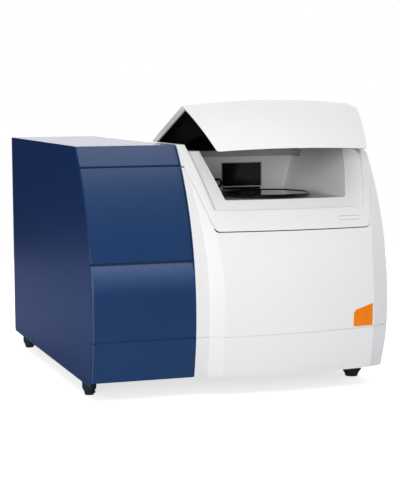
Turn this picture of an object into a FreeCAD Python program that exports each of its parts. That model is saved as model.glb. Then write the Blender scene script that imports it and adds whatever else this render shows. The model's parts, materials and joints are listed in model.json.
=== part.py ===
import FreeCAD, Part
import math
import os

V = FreeCAD.Vector

# Near-infrared analyzer, all lengths in millimetres, +Z up, front towards -Y.
# X starts at the blue side, Y starts at the front foot of the blue side sheet, Z at the table.

# Overall body
machine_width = 372.0
blue_width = 124.0
deck_height = 296.0
body_depth = 455.0
sheet_bottom = 16.0
skirt_bottom = 22.4

# Bowed front, one large arc seen from the side, in step with the deck height
bow_radius = 0.996 * deck_height
bow_centre_y = 0.951 * deck_height
bow_centre_z = 0.3368 * deck_height

# Horizontal lines of the casing
brow_height = 25.0
upper_panel_height = 109.8
belt_line = deck_height - brow_height
waist_line = belt_line - upper_panel_height
base_line = 71.0
base_rise = 3.6
waist_gap = 2.6
seam_gap = 1.0
upper_step = 1.8
roll_height = 20.0
roll_setback = 4.4

# Walls and fits
moulded_wall = 3.0
sheet = 1.5
panel_depth = 6.0
edge_round = 1.0
running_gap = 0.05
near_gap = 0.3

# How far cutting blocks reach past what they cut
over = 1.0
past = 20.0
far = 60.0

# Plan of the white front: strip, slanted cheek, bulged face, right cheek
strip_width = 17.0
cheek_width = 15.5
right_cheek_width = 24.0
strip_width_top = 3.0
cheek_width_top = 7.5
right_cheek_width_top = 6.0
strip_edge = blue_width + strip_width
left_crease = strip_edge + cheek_width
right_crease = machine_width - right_cheek_width
strip_edge_top = blue_width + strip_width_top
left_crease_top = strip_edge_top + cheek_width_top
right_crease_top = machine_width - right_cheek_width_top
face_lead = 11.0
face_bulge = 8.0
face_lead_top = 1.0
face_bulge_top = 13.0
crease_rise = 131.0
crease_turn = deck_height - crease_rise
crease_ease = 15.0
skirt_tuck = 4.0
wrap_back = 75.0
form_sections = 13

# Shut line between front cover and bezel
shut_drop = 101.5
shut_height = deck_height - shut_drop
shut_inset_left = 28.0
shut_inset_right = 23.0
shut_inset_left_top = 3.6
shut_overhang = 0.6
shut_left = blue_width + shut_inset_left
shut_right = machine_width - shut_inset_right
shut_left_top = blue_width + shut_inset_left_top
shut_right_top = machine_width + shut_overhang
shut_gap = 1.2
shut_right_share = 0.45
shut_round = 6.0

# Lid outline on the front, and the ledge it lands on
lid_drop = 77.0
lid_foot = deck_height - lid_drop
lid_margin_left = 1.3
lid_margin_right = 3.0
lid_left_foot = shut_left + lid_margin_left
lid_right_foot = shut_right - lid_margin_right
lid_left_ridge = left_crease_top
lid_right_ridge = right_crease_top - near_gap
lid_crown = 3.4
lid_gap = 0.8
lid_skin = 2.6
lid_plate = 1.8
lid_skirt = 6.0
lid_rear_lip = 4.0
ledge_depth = 5.0
ledge_wall = 3.0
gutter_depth = 8.0

# Flat facet across the right front corner of the roof
facet_width = 11.5
facet_drop = 8.0
facet_reach = 105.0

# Compartment opening and tub
sill_drop = 65.5
sill_height = deck_height - sill_drop
rim_left_foot = 16.4
rim_right_foot = 20.9
rim_left_top = 14.1
rim_right_top = 24.1
mouth_left_foot = lid_left_foot + rim_left_foot
mouth_right_foot = lid_right_foot - rim_right_foot
mouth_left_top = lid_left_ridge + rim_left_top
mouth_right_top = lid_right_ridge - rim_right_top
mouth_foot_width = mouth_right_foot - mouth_left_foot
mouth_round = 3.5
tub_wall = 2.5
tub_drop = 67.0
tub_floor = deck_height - tub_drop
tub_back = 216.0
tub_back_drop = 23.0
tub_back_top = deck_height - tub_back_drop
tub_front_inset = 8.2

# Lid hinge
hinge_y = 200.0
hinge_drop = 8.0
hinge_z = deck_height - hinge_drop
hinge_barrel = 12.0
hinge_pin_radius = 2.5
hinge_pin_length = 20.0
knuckle_radius = 5.5
knuckle_length = 8.0
lid_open_angle = 19.7
lid_swing_gap = 1.3
trough_front = 185.0

# Lid liner, a black wedge open below
liner_gap = 1.6
liner_wall = 2.2
liner_front_drop = 57.0
liner_rear_drop = 16.0
liner_front_foot = deck_height - liner_front_drop
liner_rear_foot = deck_height - liner_rear_drop
liner_back = 194.0

# Gasket in the gutter on both sides of the mouth
gasket_width = 4.0
gasket_height = 1.2

# Turntable stack
table_offset = 2.6
table_x = (mouth_left_foot + mouth_right_foot) / 2 + table_offset
table_y = 88.8
table_radius = 0.3642 * mouth_foot_width
table_thickness = 3.0
table_lift = 1.2
table_glass_radius = 30.0
table_glass_thickness = 1.6
hub_outer = 36.0
hub_inner = 28.5
hub_length = 24.0
bearing_radius = 42.0
bearing_height = 13.0
bearing_flange = 4.0
hub_pulley_radius = 43.0
pulley_flange = 2.0
pulley_height = 6.0
belt_thickness = 1.4
belt_height = 4.4
motor_reach = 84.0
motor_pulley_radius = 10.75
motor_shaft_radius = 2.5
motor_side = 42.0
motor_height = 38.0
motor_drop = 6.0
motor_chamfer = 3.0
motor_boss = 11.0
bracket_sheet = 3.0
bracket_reach = 14.0

# Rear wall fittings of the compartment
pane_left = mouth_left_foot + 0.43 * mouth_foot_width
pane_width = 0.3571 * mouth_foot_width
pane_sill = 4.6
pane_bottom = tub_floor + pane_sill
pane_height = 31.0
pane_frame = 1.4
pane_proud = 0.8
pane_thickness = 1.2
knob_margin = 8.2
knob_rise = 9.6
knob_x = pane_left - knob_margin
knob_z = tub_floor + knob_rise
knob_radius = 6.3
knob_inner = 3.4
knob_length = 7.0
knob_round = 1.0

# Slim key in the bezel
key_margin = 10.5
key_length = 29.0
key_height = 4.2
key_drop = 12.4
key_right = shut_right - key_margin
key_left = key_right - key_length
key_centre_z = lid_foot - key_drop
key_proud = 0.5
key_depth = 7.0
key_fit = 0.3

# Chassis
pan_thickness = 2.0
pan_front = 10.0
pan_edge = 16.0
pan_ramp = 20.0
frame_sheet = 1.5
divider_sheet = 1.5
rail_depth = 12.0
rail_height = 20.0

# Feet
foot_radius = 8.0
foot_taper = 1.0
foot_flare = 12.0
foot_waist = 5.0
foot_band = 2.5
foot_steps = 6
foot_inset_left = 12.5
foot_inset_right = 21.0
foot_front = 48.0
foot_rear_inset = 58.0
foot_screw_radius = 2.0
foot_screw_head = 1.8
foot_screw_reach = 4.0
foot_recess = 4.0

# Rear panel and its fittings
rear_sheet = 2.0
rear_bottom = 20.0
rear_round = 2.0
vent_count = 9
vent_length = 70.0
vent_width = 3.0
vent_pitch = 8.0
vent_inset = 72.0
vent_drop = 106.0
vent_x = machine_width - vent_inset
vent_bottom = deck_height - vent_drop
fan_x = blue_width / 2
fan_drop = 88.0
fan_z = deck_height - fan_drop
fan_side = 80.0
fan_depth = 25.0
fan_corner = 5.0
fan_bore = 37.0
fan_hub = 16.0
fan_web = 3.0
fan_spindle_stop = 6.0
fan_arms = 4
fan_blades = 7
fan_blade_tip = 36.0
fan_blade_thickness = 1.6
fan_blade_pitch = 38.0
fan_spindle = 2.0
guard_wire = 1.2
guard_rings = 4
guard_reach = 4.0
inlet_x = blue_width / 2
inlet_z = 66.0
inlet_width = 30.0
inlet_height = 58.0
inlet_depth = 30.0
inlet_flange = 2.4
inlet_rim = 3.0
socket_width = 22.0
socket_height = 16.0
socket_depth = 16.0
socket_margin = 3.0
socket_chamfer = 4.5
pin_half_width = 1.0
pin_half_height = 2.5
pin_spread = 7.0
pin_recess = 3.0
rocker_width = 13.0
rocker_height = 19.0
rocker_margin = 4.0
rocker_tilt = 8.0
rocker_proud = 2.2
rocker_play = 2.2
rocker_pivot = 5.0
rocker_heel = 4.0
rocker_pin_radius = 1.5
rocker_well_depth = 12.0
fuse_height = 7.0
fuse_groove_width = 0.6
port_inset = 81.0
port_x = blue_width + port_inset
port_z = 70.0
port_plate_width = 60.0
port_plate_height = 22.0
port_plate_depth = 12.0
port_depth = 10.0
port_proud = 1.0
network_offset = -18.0
network_width = 15.0
network_height = 12.5
flat_offset = 2.0
flat_width = 13.5
flat_height = 6.0
square_offset = 19.0
square_width = 12.0
square_height = 11.0
screw_head_radius = 3.2
screw_head_height = 1.8
screw_head_bevel = 1.0
screw_shank = 1.5
screw_inset = 9.0

# Optical bench and monochromator
bench_margin_left = 26.0
bench_margin_right = 20.0
bench_margin_rear = 47.0
bench_left = blue_width + bench_margin_left
bench_right = machine_width - bench_margin_right
bench_front = 55.0
bench_rear = body_depth - bench_margin_rear
bench_bottom = 44.0
bench_thickness = 10.0
bench_corner = 8.0
pillar_radius = 9.0
pillar_waist = 2.0
pillar_inset = 16.0
mono_margin_left = 15.0
mono_margin_right = 27.0
mono_left = bench_left + mono_margin_left
mono_right = bench_right - mono_margin_right
mono_front = 155.0
mono_rear = 315.0
mono_wall = 4.0
mono_cover = 3.0
mono_corner = 6.0
mono_under_motor = 1.2
grating_offset = 5.0
grating_setback = 45.0
grating_table_radius = 17.0
grating_table_height = 5.0
grating_shaft_radius = 3.0
grating_side = 30.0
grating_thickness = 7.0
grating_lead = 3.0
yoke_bar = 4.0
groove_pitch = 3.0
groove_depth = 0.6
scan_motor_radius = 19.0
scan_motor_height = 26.0
scan_motor_bevel = 2.0
mirror_radius = 16.0
mirror_thickness = 6.0
slit_width = 2.0
slit_height = 12.0
slit_plate = 2.0
slit_rim = 4.0
port_radius = 9.0
entry_inset = 40.0
beam_share = 0.564
lamp_front = 348.0
lamp_rear = 402.0
lamp_half_width = 28.0
lamp_over_beam = 40.0
lamp_wall = 4.0
fin_count = 6
fin_depth = 3.0
fin_width = 2.0
bulb_radius = 6.0
bulb_length = 16.0
bulb_tip = 4.0
reflector_radius = 20.0
reflector_depth = 20.0
reflector_rim = 2.0
reflector_wall = 1.5
reflector_foot = 4.0
wheel_radius = 27.0
wheel_thickness = 3.0
wheel_filters = 6
filter_radius = 7.0
filter_inset = 0.5
filter_pitch_radius = 17.0
wheel_motor_side = 20.0
wheel_motor_length = 9.0
wheel_shaft_radius = 2.0
wheel_shaft_seat = 5.0
wheel_stand = 5.0

# Light path under the turntable
head_radius = 27.0
head_clearance = 4.5
head_window_radius = 14.0
head_window_thickness = 2.0
light_bore = 10.0
fold_side = 48.0
fold_room_reach = 4.0
tube_outer = 11.0

# Electronics in the blue bay
board_thickness = 1.6
board_front = 70.0
board_rear = 290.0
board_bottom = 70.0
board_drop = 41.0
board_top = deck_height - board_drop
standoff_radius = 3.0
standoff_length = 9.0
standoff_inset = 8.0
chip_thickness = 4.0
# Chips: place along and up the board, side as a share of its height, share of the thickness
chip_shares = ((0.18, 0.22, 0.14, 1.0), (0.41, 0.65, 0.18, 1.0), (0.73, 0.27, 0.16, 1.0),
               (0.82, 0.76, 0.12, 2.2), (0.23, 0.84, 0.1, 1.5))
supply_left = 14.0
supply_margin = 26.0
supply_right = blue_width - supply_margin
supply_front = 250.0
supply_rear = 380.0
supply_height = 44.0
supply_sheet = 1.2
supply_slots = 6
supply_slot_width = 6.0
supply_slot_inset = 14.0


# Basic shapes
def box(x0, x1, y0, y1, z0, z1):
    return Part.makeBox(x1 - x0, y1 - y0, z1 - z0, V(x0, y0, z0))


def rod(radius, start, end):
    line = end.sub(start)
    return Part.makeCylinder(radius, line.Length, start, line)


def ring(outer, inner, start, end):
    return rod(outer, start, end).cut(rod(inner, start, end))


def turned(points, centre, axis):
    # Half profile given as (radius, height) pairs, turned about the given axis
    wire = Part.makePolygon([V(r, 0, h) for r, h in points + points[:1]])
    solid = Part.Face(wire).revolve(V(0, 0, 0), V(0, 0, 1), 360)
    solid.Placement = FreeCAD.Placement(centre, FreeCAD.Rotation(V(0, 0, 1), axis))
    return solid


def prism_xz(points, y0, y1):
    wire = Part.makePolygon([V(x, y0, z) for x, z in points + points[:1]])
    return Part.Face(wire).extrude(V(0, y1 - y0, 0))


def prism_yz(points, x0, x1):
    wire = Part.makePolygon([V(x0, y, z) for y, z in points + points[:1]])
    return Part.Face(wire).extrude(V(x1 - x0, 0, 0))


def pill_xz(x0, x1, centre_z, height, y0, y1):
    r = height / 2
    middle = box(x0 + r, x1 - r, y0, y1, centre_z - r, centre_z + r)
    left = rod(r, V(x0 + r, y0, centre_z), V(x0 + r, y1, centre_z))
    right = rod(r, V(x1 - r, y0, centre_z), V(x1 - r, y1, centre_z))
    return middle.fuse([left, right]).removeSplitter()


def rounded(solid, radius, pick):
    edges = [edge for edge in solid.Edges if pick(edge)]
    return solid.makeFillet(radius, edges) if edges else solid


def upright(edge):
    return edge.BoundBox.XLength < 0.01 and edge.BoundBox.YLength < 0.01


# Bowed front
def bow_y(z, inset=0.0):
    return bow_centre_y - math.sqrt((bow_radius - inset) ** 2 - (z - bow_centre_z) ** 2)


def bow_arc(x, inset, z0, z1):
    middle = (z0 + z1) / 2
    points = [V(x, bow_y(z, inset), z) for z in (z0, middle, z1)]
    return Part.Arc(points[0], points[1], points[2]).toShape()


def bowed_block(x0, x1, z0, z1, inset, back):
    front = bow_arc(x0, inset, z0, z1)
    foot = V(x0, bow_y(z0, inset), z0)
    head = V(x0, bow_y(z1, inset), z1)
    rest = Part.makePolygon([head, V(x0, back, z1), V(x0, back, z0), foot])
    face = Part.Face(Part.Wire([front] + rest.Edges))
    return face.extrude(V(x1 - x0, 0, 0))


def bowed_plate(x0, x1, z0, z1, inset, thickness):
    front = bow_arc(x0, inset, z0, z1)
    rear = bow_arc(x0, inset + thickness, z0, z1)
    foot = Part.makeLine(rear.Vertexes[0].Point, front.Vertexes[0].Point)
    head = Part.makeLine(front.Vertexes[1].Point, rear.Vertexes[1].Point)
    face = Part.Face(Part.Wire([foot, front, head, rear]))
    return face.extrude(V(x1 - x0, 0, 0))


def bowed_panel(x0, x1, z0, z1, inset, solid_top=moulded_wall):
    # Shallow moulded tray, open to the rear, with a softened outer rim
    plate = bowed_plate(x0, x1, z0, z1, inset, panel_depth)
    front = [e for e in plate.Edges if on_bow(e, inset)]
    plate = plate.makeFillet(edge_round, front)
    w = moulded_wall
    hollow = bowed_plate(x0 + w, x1 - w, z0 + w, z1 - solid_top, inset + w, panel_depth)
    return plate.cut(hollow)


def on_bow(edge, inset):
    points = [v.Point for v in edge.Vertexes]
    return all(abs(p.y - bow_y(p.z, inset)) < 0.01 for p in points)


# Plan of the white body at one height
def ramp(rise):
    # Zero below the turn and straight above it, with a soft bend between
    return (rise + math.sqrt(rise ** 2 + crease_ease ** 2)) / 2


def blend(z, low, high):
    share = ramp(z - crease_turn) / ramp(deck_height - crease_turn)
    return low + (high - low) * share


def white_section(z, inset, side, back):
    y = bow_y(z) + inset
    lead = blend(z, face_lead, face_lead_top)
    bulge = blend(z, face_bulge, face_bulge_top)
    left = blend(z, left_crease, left_crease_top)
    right = blend(z, right_crease, right_crease_top)
    tuck = skirt_tuck * ramp(base_line - z) / ramp(base_line - skirt_bottom)
    x0 = blue_width + side
    x1 = machine_width - side - tuck
    a = V(x0, y, z)
    b = V(blend(z, strip_edge, strip_edge_top), y, z)
    c = V(left, y - lead, z)
    middle = V((left + right) / 2, y - lead - bulge, z)
    d = V(right, y - lead, z)
    e = V(x1, y, z)
    f = V(x1, back, z)
    g = V(x0, back, z)
    edges = [Part.makeLine(a, b), Part.makeLine(b, c)]
    edges.append(Part.Arc(c, middle, d).toShape())
    edges += [Part.makeLine(d, e), Part.makeLine(e, f)]
    edges += [Part.makeLine(f, g), Part.makeLine(g, a)]
    return Part.Wire(edges)


def white_form(inset, side, bottom, top, back):
    step = (top - bottom) / (form_sections - 1)
    heights = [bottom + i * step for i in range(form_sections)]
    return Part.makeLoft([white_section(z, inset, side, back) for z in heights], True)


# Lines on the front of the white body
def slant(z, foot_x, foot_z, top_x):
    return foot_x + (top_x - foot_x) * (z - foot_z) / (deck_height - foot_z)


def lid_outline(grow, top):
    foot = lid_foot - grow
    left = [slant(z, lid_left_foot, lid_foot, lid_left_ridge) - grow for z in (foot, top)]
    right = [slant(z, lid_right_foot, lid_foot, lid_right_ridge) + grow for z in (foot, top)]
    return [(left[0], foot), (right[0], foot), (right[1], top), (left[1], top)]


def mouth_outline(grow, foot, top):
    left = [slant(z, mouth_left_foot, sill_height, mouth_left_top) - grow for z in (foot, top)]
    right = [slant(z, mouth_right_foot, sill_height, mouth_right_top) + grow for z in (foot, top)]
    return [(left[0], foot), (right[0], foot), (right[1], top), (left[1], top)]


def shut_region(grow, y0, y1):
    # Everything above the shut line, seen from the front
    foot = shut_height - grow
    right_grow = shut_right_share * grow
    points = [(shut_left - grow, foot), (shut_right + right_grow, foot)]
    points += [(shut_right_top + right_grow, belt_line - grow), (machine_width + far, belt_line - grow)]
    points += [(machine_width + far, deck_height + far), (blue_width - far, deck_height + far)]
    points += [(blue_width - far, belt_line - grow), (shut_left_top - grow, belt_line - grow)]
    solid = prism_xz(points, y0, y1)
    corners = [(shut_left - grow, foot), (shut_right + right_grow, foot), (shut_left_top - grow, belt_line - grow)]

    def at_corner(edge):
        if edge.BoundBox.YLength < 1:
            return False
        p = edge.Vertexes[0].Point
        return any(abs(p.x - x) + abs(p.z - z) < 0.1 for x, z in corners)

    return rounded(solid, shut_round, at_corner)


def foot_rounded(solid, radius, foot):
    def low(edge):
        box_of = edge.BoundBox
        return box_of.YLength > 1 and box_of.XLength < 0.01 and abs(box_of.ZMin - foot) < 0.01

    return rounded(solid, radius, low)


front_reach = bow_y(bow_centre_z) - face_lead - face_bulge
far_front = front_reach - far
table_centre = V(table_x, table_y, 0)
shapes = {}


def above(centre, z):
    return V(centre.x, centre.y, z)


# Blue casing
blue_face_right = blue_width - seam_gap / 2
waist_low = waist_line - waist_gap / 2
waist_high = waist_line + waist_gap / 2
frame_inset = upper_step + panel_depth

shapes["blue_brow_fascia"] = bowed_panel(
    0, blue_face_right, belt_line + seam_gap / 2, deck_height, upper_step)
shapes["blue_upper_front_panel"] = bowed_panel(
    0, blue_face_right, waist_high, belt_line - seam_gap / 2, upper_step)
lower_panel = bowed_panel(0, blue_face_right, base_line + seam_gap / 2, waist_low, 0, roll_height)
roll_foot = waist_low - roll_height
roll_middle = waist_low - roll_height / 2
roll_start = V(0, bow_y(roll_foot), roll_foot)
roll_mid = V(0, bow_y(roll_middle) + roll_setback / 4, roll_middle)
roll_end = V(0, bow_y(waist_low) + roll_setback, waist_low)
roll_arc = Part.Arc(roll_start, roll_mid, roll_end).toShape()
roll_rest = Part.makePolygon([roll_end, V(0, roll_end.y, waist_low + over), V(0, -past, waist_low + over),
                              V(0, -past, roll_foot), roll_start])
roll_cut = Part.Face(Part.Wire([roll_arc] + roll_rest.Edges)).extrude(V(blue_width, 0, 0))
shapes["blue_lower_front_panel"] = lower_panel.cut(roll_cut)
shapes["blue_base_skirt"] = bowed_panel(
    0, blue_face_right, skirt_bottom, base_line - seam_gap / 2, 0)

carrier = bowed_plate(sheet, blue_width - divider_sheet, skirt_bottom, waist_line, panel_depth, frame_sheet)
carrier_top = bowed_plate(sheet, blue_width - divider_sheet, waist_line, deck_height - sheet,
                          frame_inset, frame_sheet)
shelf = bowed_plate(sheet, blue_width - divider_sheet, waist_line - frame_sheet, waist_line,
                    panel_depth, frame_sheet + upper_step)
shapes["blue_front_frame"] = carrier.fuse([carrier_top, shelf]).removeSplitter()

sheet_front = frame_inset + edge_round
side_block = bowed_block(0, blue_width - divider_sheet, sheet_bottom, deck_height, sheet_front,
                         body_depth - rear_sheet)
side_block = side_block.makeFillet(edge_round, [
    e for e in side_block.Edges
    if e.BoundBox.XMax < 0.01 and e.BoundBox.ZMin > deck_height - 0.01])
side_inner = box(sheet, blue_width, far_front, body_depth, sheet_bottom - over, deck_height - sheet)
shapes["blue_side_cover"] = side_block.cut(side_inner)

# White casing, cut from one lofted form
def corner_facet(sink):
    # Block above the plane of the facet, sunk for the inner faces
    ridge_y = bow_y(deck_height)
    high = V(lid_right_ridge - facet_width, ridge_y, deck_height - sink)
    low = V(lid_right_ridge, ridge_y, deck_height - facet_drop - sink)
    rear = V(lid_right_ridge, ridge_y + facet_reach, deck_height - sink)
    normal = (low - high).cross(rear - high)
    block = Part.makeBox(2 * body_depth, 2 * body_depth, far, V(-body_depth, -body_depth, 0))
    block.Placement = FreeCAD.Placement(high, FreeCAD.Rotation(V(0, 0, 1), normal))
    return block


skin_back = body_depth - rear_sheet
white_outer = white_form(0, seam_gap / 2, skirt_bottom, deck_height, skin_back).cut(corner_facet(0))
white_inner = white_form(moulded_wall, moulded_wall, skirt_bottom - over, deck_height - moulded_wall,
                         skin_back + over).cut(corner_facet(moulded_wall))
white_skin = white_outer.cut(white_inner)

front_zone = box(0, machine_width + past, far_front, wrap_back, 0, deck_height + past)


def seam_side(offset, end):
    # Below or above the base seam, which rises towards the right
    rise = base_rise * (machine_width + past - blue_width) / (machine_width - blue_width)
    seam = base_line + offset
    return prism_xz([(0, end), (0, seam), (blue_width, seam), (machine_width + past, seam + rise),
                     (machine_width + past, end)], far_front, body_depth + past)


base_zone = seam_side(-seam_gap / 2, 0)
lid_gutter = deck_height - gutter_depth
bezel_back = hinge_y + hinge_barrel + lid_swing_gap

pan_zone = box(0, blue_width + 2 * moulded_wall, pan_front - near_gap, wrap_back + over, 0, base_line)
shapes["white_base_skirt"] = white_skin.common(front_zone).common(base_zone).cut(pan_zone)

cover_zone = seam_side(seam_gap / 2, deck_height + past).common(front_zone)
above_shut = shut_region(shut_gap / 2, far_front, body_depth + past)
shapes["white_front_cover"] = white_skin.common(cover_zone).cut(above_shut)

side_zone = box(machine_width - 3 * moulded_wall, machine_width + past, wrap_back + seam_gap / 2,
                body_depth, sheet_bottom, belt_line - seam_gap / 2)
shapes["white_side_panel"] = white_skin.common(side_zone)

top_zone = box(0, machine_width + past, bezel_back + seam_gap / 2, body_depth,
               belt_line + seam_gap / 2, deck_height + past)
shapes["white_top_cover"] = white_skin.common(top_zone)

# Bezel: thick rim with a stepped ledge for the lid, and the open trapezoid mouth
bezel_zone = shut_region(-shut_gap / 2, far_front, bezel_back - seam_gap / 2)
thick_inner = white_form(ledge_depth + ledge_wall, moulded_wall, shut_height - past,
                         lid_gutter - ledge_wall, skin_back).cut(corner_facet(gutter_depth + ledge_wall))
ledge_form = white_form(ledge_depth, 0, shut_height - past, lid_gutter, skin_back)
ledge_form = ledge_form.cut(corner_facet(gutter_depth))
bezel = white_outer.cut(thick_inner).common(bezel_zone)
bezel = bezel.cut(box(0, machine_width + past, wrap_back + seam_gap / 2, body_depth, 0, belt_line + seam_gap / 2))
lid_seat = foot_rounded(
    prism_xz(lid_outline(0, deck_height + past), far_front, bezel_back), mouth_round, lid_foot)
bezel = bezel.cut(lid_seat.cut(ledge_form))
mouth = prism_xz(mouth_outline(0, sill_height, deck_height + past), far_front, bezel_back + past)


def mouth_corner(edge):
    bounds = edge.BoundBox
    return bounds.YLength > 1 and bounds.ZMax < sill_height + 0.01


bezel = bezel.cut(rounded(mouth, mouth_round, mouth_corner))
trough = box(lid_left_ridge - lid_gap, lid_right_ridge + lid_gap, trough_front, bezel_back,
             tub_back_top, deck_height + past)
bezel = bezel.cut(trough)
pin_axis_left = V(lid_left_ridge - lid_gap, hinge_y, hinge_z)
pin_axis_right = V(lid_right_ridge + lid_gap, hinge_y, hinge_z)
rail_bore = blue_width + moulded_wall + over
left_bore = rod(hinge_pin_radius, V(rail_bore, hinge_y, hinge_z), pin_axis_left)
right_bore = rod(hinge_pin_radius, pin_axis_right, V(machine_width - moulded_wall, hinge_y, hinge_z))
bezel = bezel.cut(left_bore).cut(right_bore)
key_slot = pill_xz(key_left - key_fit, key_right + key_fit, key_centre_z, key_height + 2 * key_fit,
                   far_front, wrap_back)
bezel = bezel.cut(key_slot)
shapes["compartment_bezel"] = bezel

# Slim key, curved like the bezel it stands in
key_bar = pill_xz(key_left, key_right, key_centre_z, key_height, far_front, wrap_back)
key_front = white_form(-key_proud, 0, shut_height - past, deck_height, skin_back)
key_rear = white_form(key_depth, 0, shut_height - past, deck_height, skin_back)
shapes["bezel_key"] = key_bar.common(key_front).cut(key_rear)

# Compartment tub
tub_front = white_form(tub_front_inset, 0, shut_height - past, deck_height, skin_back)
tub_top = lid_gutter - ledge_wall
tub_outer = prism_xz(mouth_outline(tub_wall, tub_floor - tub_wall, tub_top), far_front, tub_back + tub_wall)
tub_inner = prism_xz(mouth_outline(0, tub_floor, tub_top + past), far_front, tub_back)
tub_corner = [e for e in tub_inner.Edges if e.BoundBox.YLength > 1 and e.BoundBox.ZMax < tub_floor + 0.01]
tub_inner = tub_inner.makeFillet(mouth_round, tub_corner)
tub = tub_outer.cut(tub_inner).common(tub_front)
back_drop = box(0, machine_width, trough_front, tub_back + 2 * tub_wall, tub_back_top, deck_height)
tub = tub.cut(back_drop)
floor_under = tub_floor - tub_wall
tub = tub.cut(rod(bearing_radius, above(table_centre, floor_under - over), above(table_centre, tub_floor + over)))
pane_top = pane_bottom + pane_height
pane_right = pane_left + pane_width
pane_hole = box(pane_left, pane_right, tub_back - over, tub_back + tub_wall + over, pane_bottom, pane_top)
knob_bore = rod(knob_inner, V(knob_x, tub_back - over, knob_z), V(knob_x, tub_back + tub_wall + over, knob_z))
shapes["compartment_tub"] = tub.cut(pane_hole).cut(knob_bore)

frame_outer = box(pane_left - pane_frame, pane_right + pane_frame, tub_back - pane_proud, tub_back,
                  pane_bottom - pane_frame, pane_top + pane_frame)
frame_hole = box(pane_left, pane_right, tub_back - 2, tub_back + 2, pane_bottom, pane_top)
shapes["window_frame"] = frame_outer.cut(frame_hole)
shapes["window_pane"] = box(pane_left, pane_right, tub_back - pane_thickness / 2, tub_back + pane_thickness / 2,
                            pane_bottom, pane_top)

# Locking knob: black grip ring turned about a bright screw through the rear wall
knob_front = tub_back - knob_length
knob_seat = tub_back - near_gap
grip = turned([(knob_inner, 0), (knob_radius - knob_round, 0), (knob_radius, knob_round), (knob_radius, knob_length - near_gap - knob_round),
               (knob_radius - 0.8 * knob_round, knob_length - near_gap), (knob_inner, knob_length - near_gap)],
              V(knob_x, knob_seat, knob_z), V(0, -1, 0))
shapes["knob_grip"] = grip
core = turned([(0, 0), (knob_inner - running_gap, 0), (knob_inner - running_gap, tub_wall + near_gap),
               (knob_inner, tub_wall + near_gap), (knob_inner, tub_wall + knob_length - 0.6),
               (knob_inner - 0.8, tub_wall + knob_length), (0, tub_wall + knob_length)],
              V(knob_x, tub_back + tub_wall, knob_z), V(0, -1, 0))
shapes["knob_screw"] = core

# Lid, drawn closed and then turned open about its hinge
def crowned(points, drop, y0, y1):
    # Trapezoid seen from the front, its upper side an arc that rises to the crown
    low_left, low_right, high_right, high_left = points
    top_left = V(high_left[0], y0, deck_height - drop)
    top_right = V(high_right[0], y0, deck_height - drop)
    crest = V((high_left[0] + high_right[0]) / 2, y0, deck_height + lid_crown - drop)
    arc = Part.Arc(top_right, crest, top_left).toShape()
    sides = Part.makePolygon([top_left, V(low_left[0], y0, low_left[1]), V(low_right[0], y0, low_right[1]), top_right])
    return Part.Face(Part.Wire(sides.Edges + [arc])).extrude(V(0, y1 - y0, 0))


def in_lid_pose(solid):
    moved = solid.copy()
    moved.rotate(V(0, hinge_y, hinge_z), V(1, 0, 0), -lid_open_angle)
    return moved


knuckle_low = hinge_z - knuckle_radius
knuckle_clear = lid_gap + lid_skin + near_gap
knuckle_start = slant(knuckle_low, lid_left_foot, lid_foot, lid_left_ridge) + knuckle_clear
knuckle_stop = slant(knuckle_low, lid_right_foot, lid_foot, lid_right_ridge) - knuckle_clear
lid_top = deck_height + 3 * lid_crown
lid_front = white_form(0, 0, shut_height - past, lid_top, hinge_y + hinge_barrel + over)
lid_behind = white_form(lid_plate, 0, shut_height - past, lid_top, hinge_y + 2 * hinge_barrel)
lid_body = crowned(lid_outline(-lid_gap, deck_height), 0, far_front, hinge_y + hinge_barrel)
lid_body = foot_rounded(lid_body, mouth_round, lid_foot + lid_gap).common(lid_front)
lid_body = lid_body.cut(corner_facet(0))
lid_barrel = rod(hinge_barrel, V(0, hinge_y, hinge_z), V(machine_width, hinge_y, hinge_z))
behind_hinge = box(0, machine_width, hinge_y, body_depth, 0, deck_height + past)
lid_body = lid_body.cut(behind_hinge.cut(lid_barrel))
inner_barrel = rod(hinge_barrel - lid_skin, V(0, hinge_y, hinge_z), V(machine_width, hinge_y, hinge_z))
cavity = crowned(lid_outline(-lid_gap - lid_skin, deck_height), lid_skin, far_front, hinge_y + hinge_barrel)
cavity = cavity.common(lid_behind).cut(behind_hinge.cut(inner_barrel)).cut(corner_facet(lid_skin))
under_skirt = box(0, machine_width, far_front, body_depth, 0, deck_height - lid_skirt)
under_skirt = under_skirt.common(lid_behind).cut(lid_barrel).cut(corner_facet(lid_skirt))
rear_lip = hinge_z - lid_rear_lip
under_middle = box(knuckle_start, knuckle_stop, hinge_y - hinge_barrel, hinge_y + hinge_barrel + over, 0, rear_lip)
lid_shell = lid_body.cut(cavity).cut(under_skirt).cut(under_middle)
lid_bore = rod(hinge_pin_radius + running_gap, V(0, hinge_y, hinge_z), V(machine_width, hinge_y, hinge_z))
shapes["lid_shell"] = in_lid_pose(lid_shell.cut(lid_bore))

wedge_side = [(far_front, liner_front_foot), (liner_back, liner_rear_foot),
              (liner_back, deck_height + past), (far_front, deck_height + past)]
roof_line = lid_outline(-lid_gap - lid_skin, deck_height)
liner_sides = mouth_outline(-liner_gap, sill_height, deck_height + lid_crown)
liner_outer = prism_xz(liner_sides, far_front, liner_back).common(crowned(roof_line, lid_skin, far_front, liner_back))
liner_outer = liner_outer.common(lid_behind).common(prism_yz(wedge_side, 0, machine_width))
liner_front = white_form(lid_plate + liner_wall, 0, shut_height - past, lid_top, body_depth)
liner_sides_inside = mouth_outline(-liner_gap - liner_wall, sill_height, deck_height + lid_crown)
liner_inner = prism_xz(liner_sides_inside, far_front, liner_back - liner_wall)
liner_inner = liner_inner.common(crowned(roof_line, lid_skin + liner_wall, far_front, liner_back)).common(liner_front)
brim_back = hinge_y - 2 * knuckle_radius - near_gap
brim_room = crowned(roof_line, lid_skin, far_front, brim_back).common(lid_behind).cut(corner_facet(lid_skin))
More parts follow.
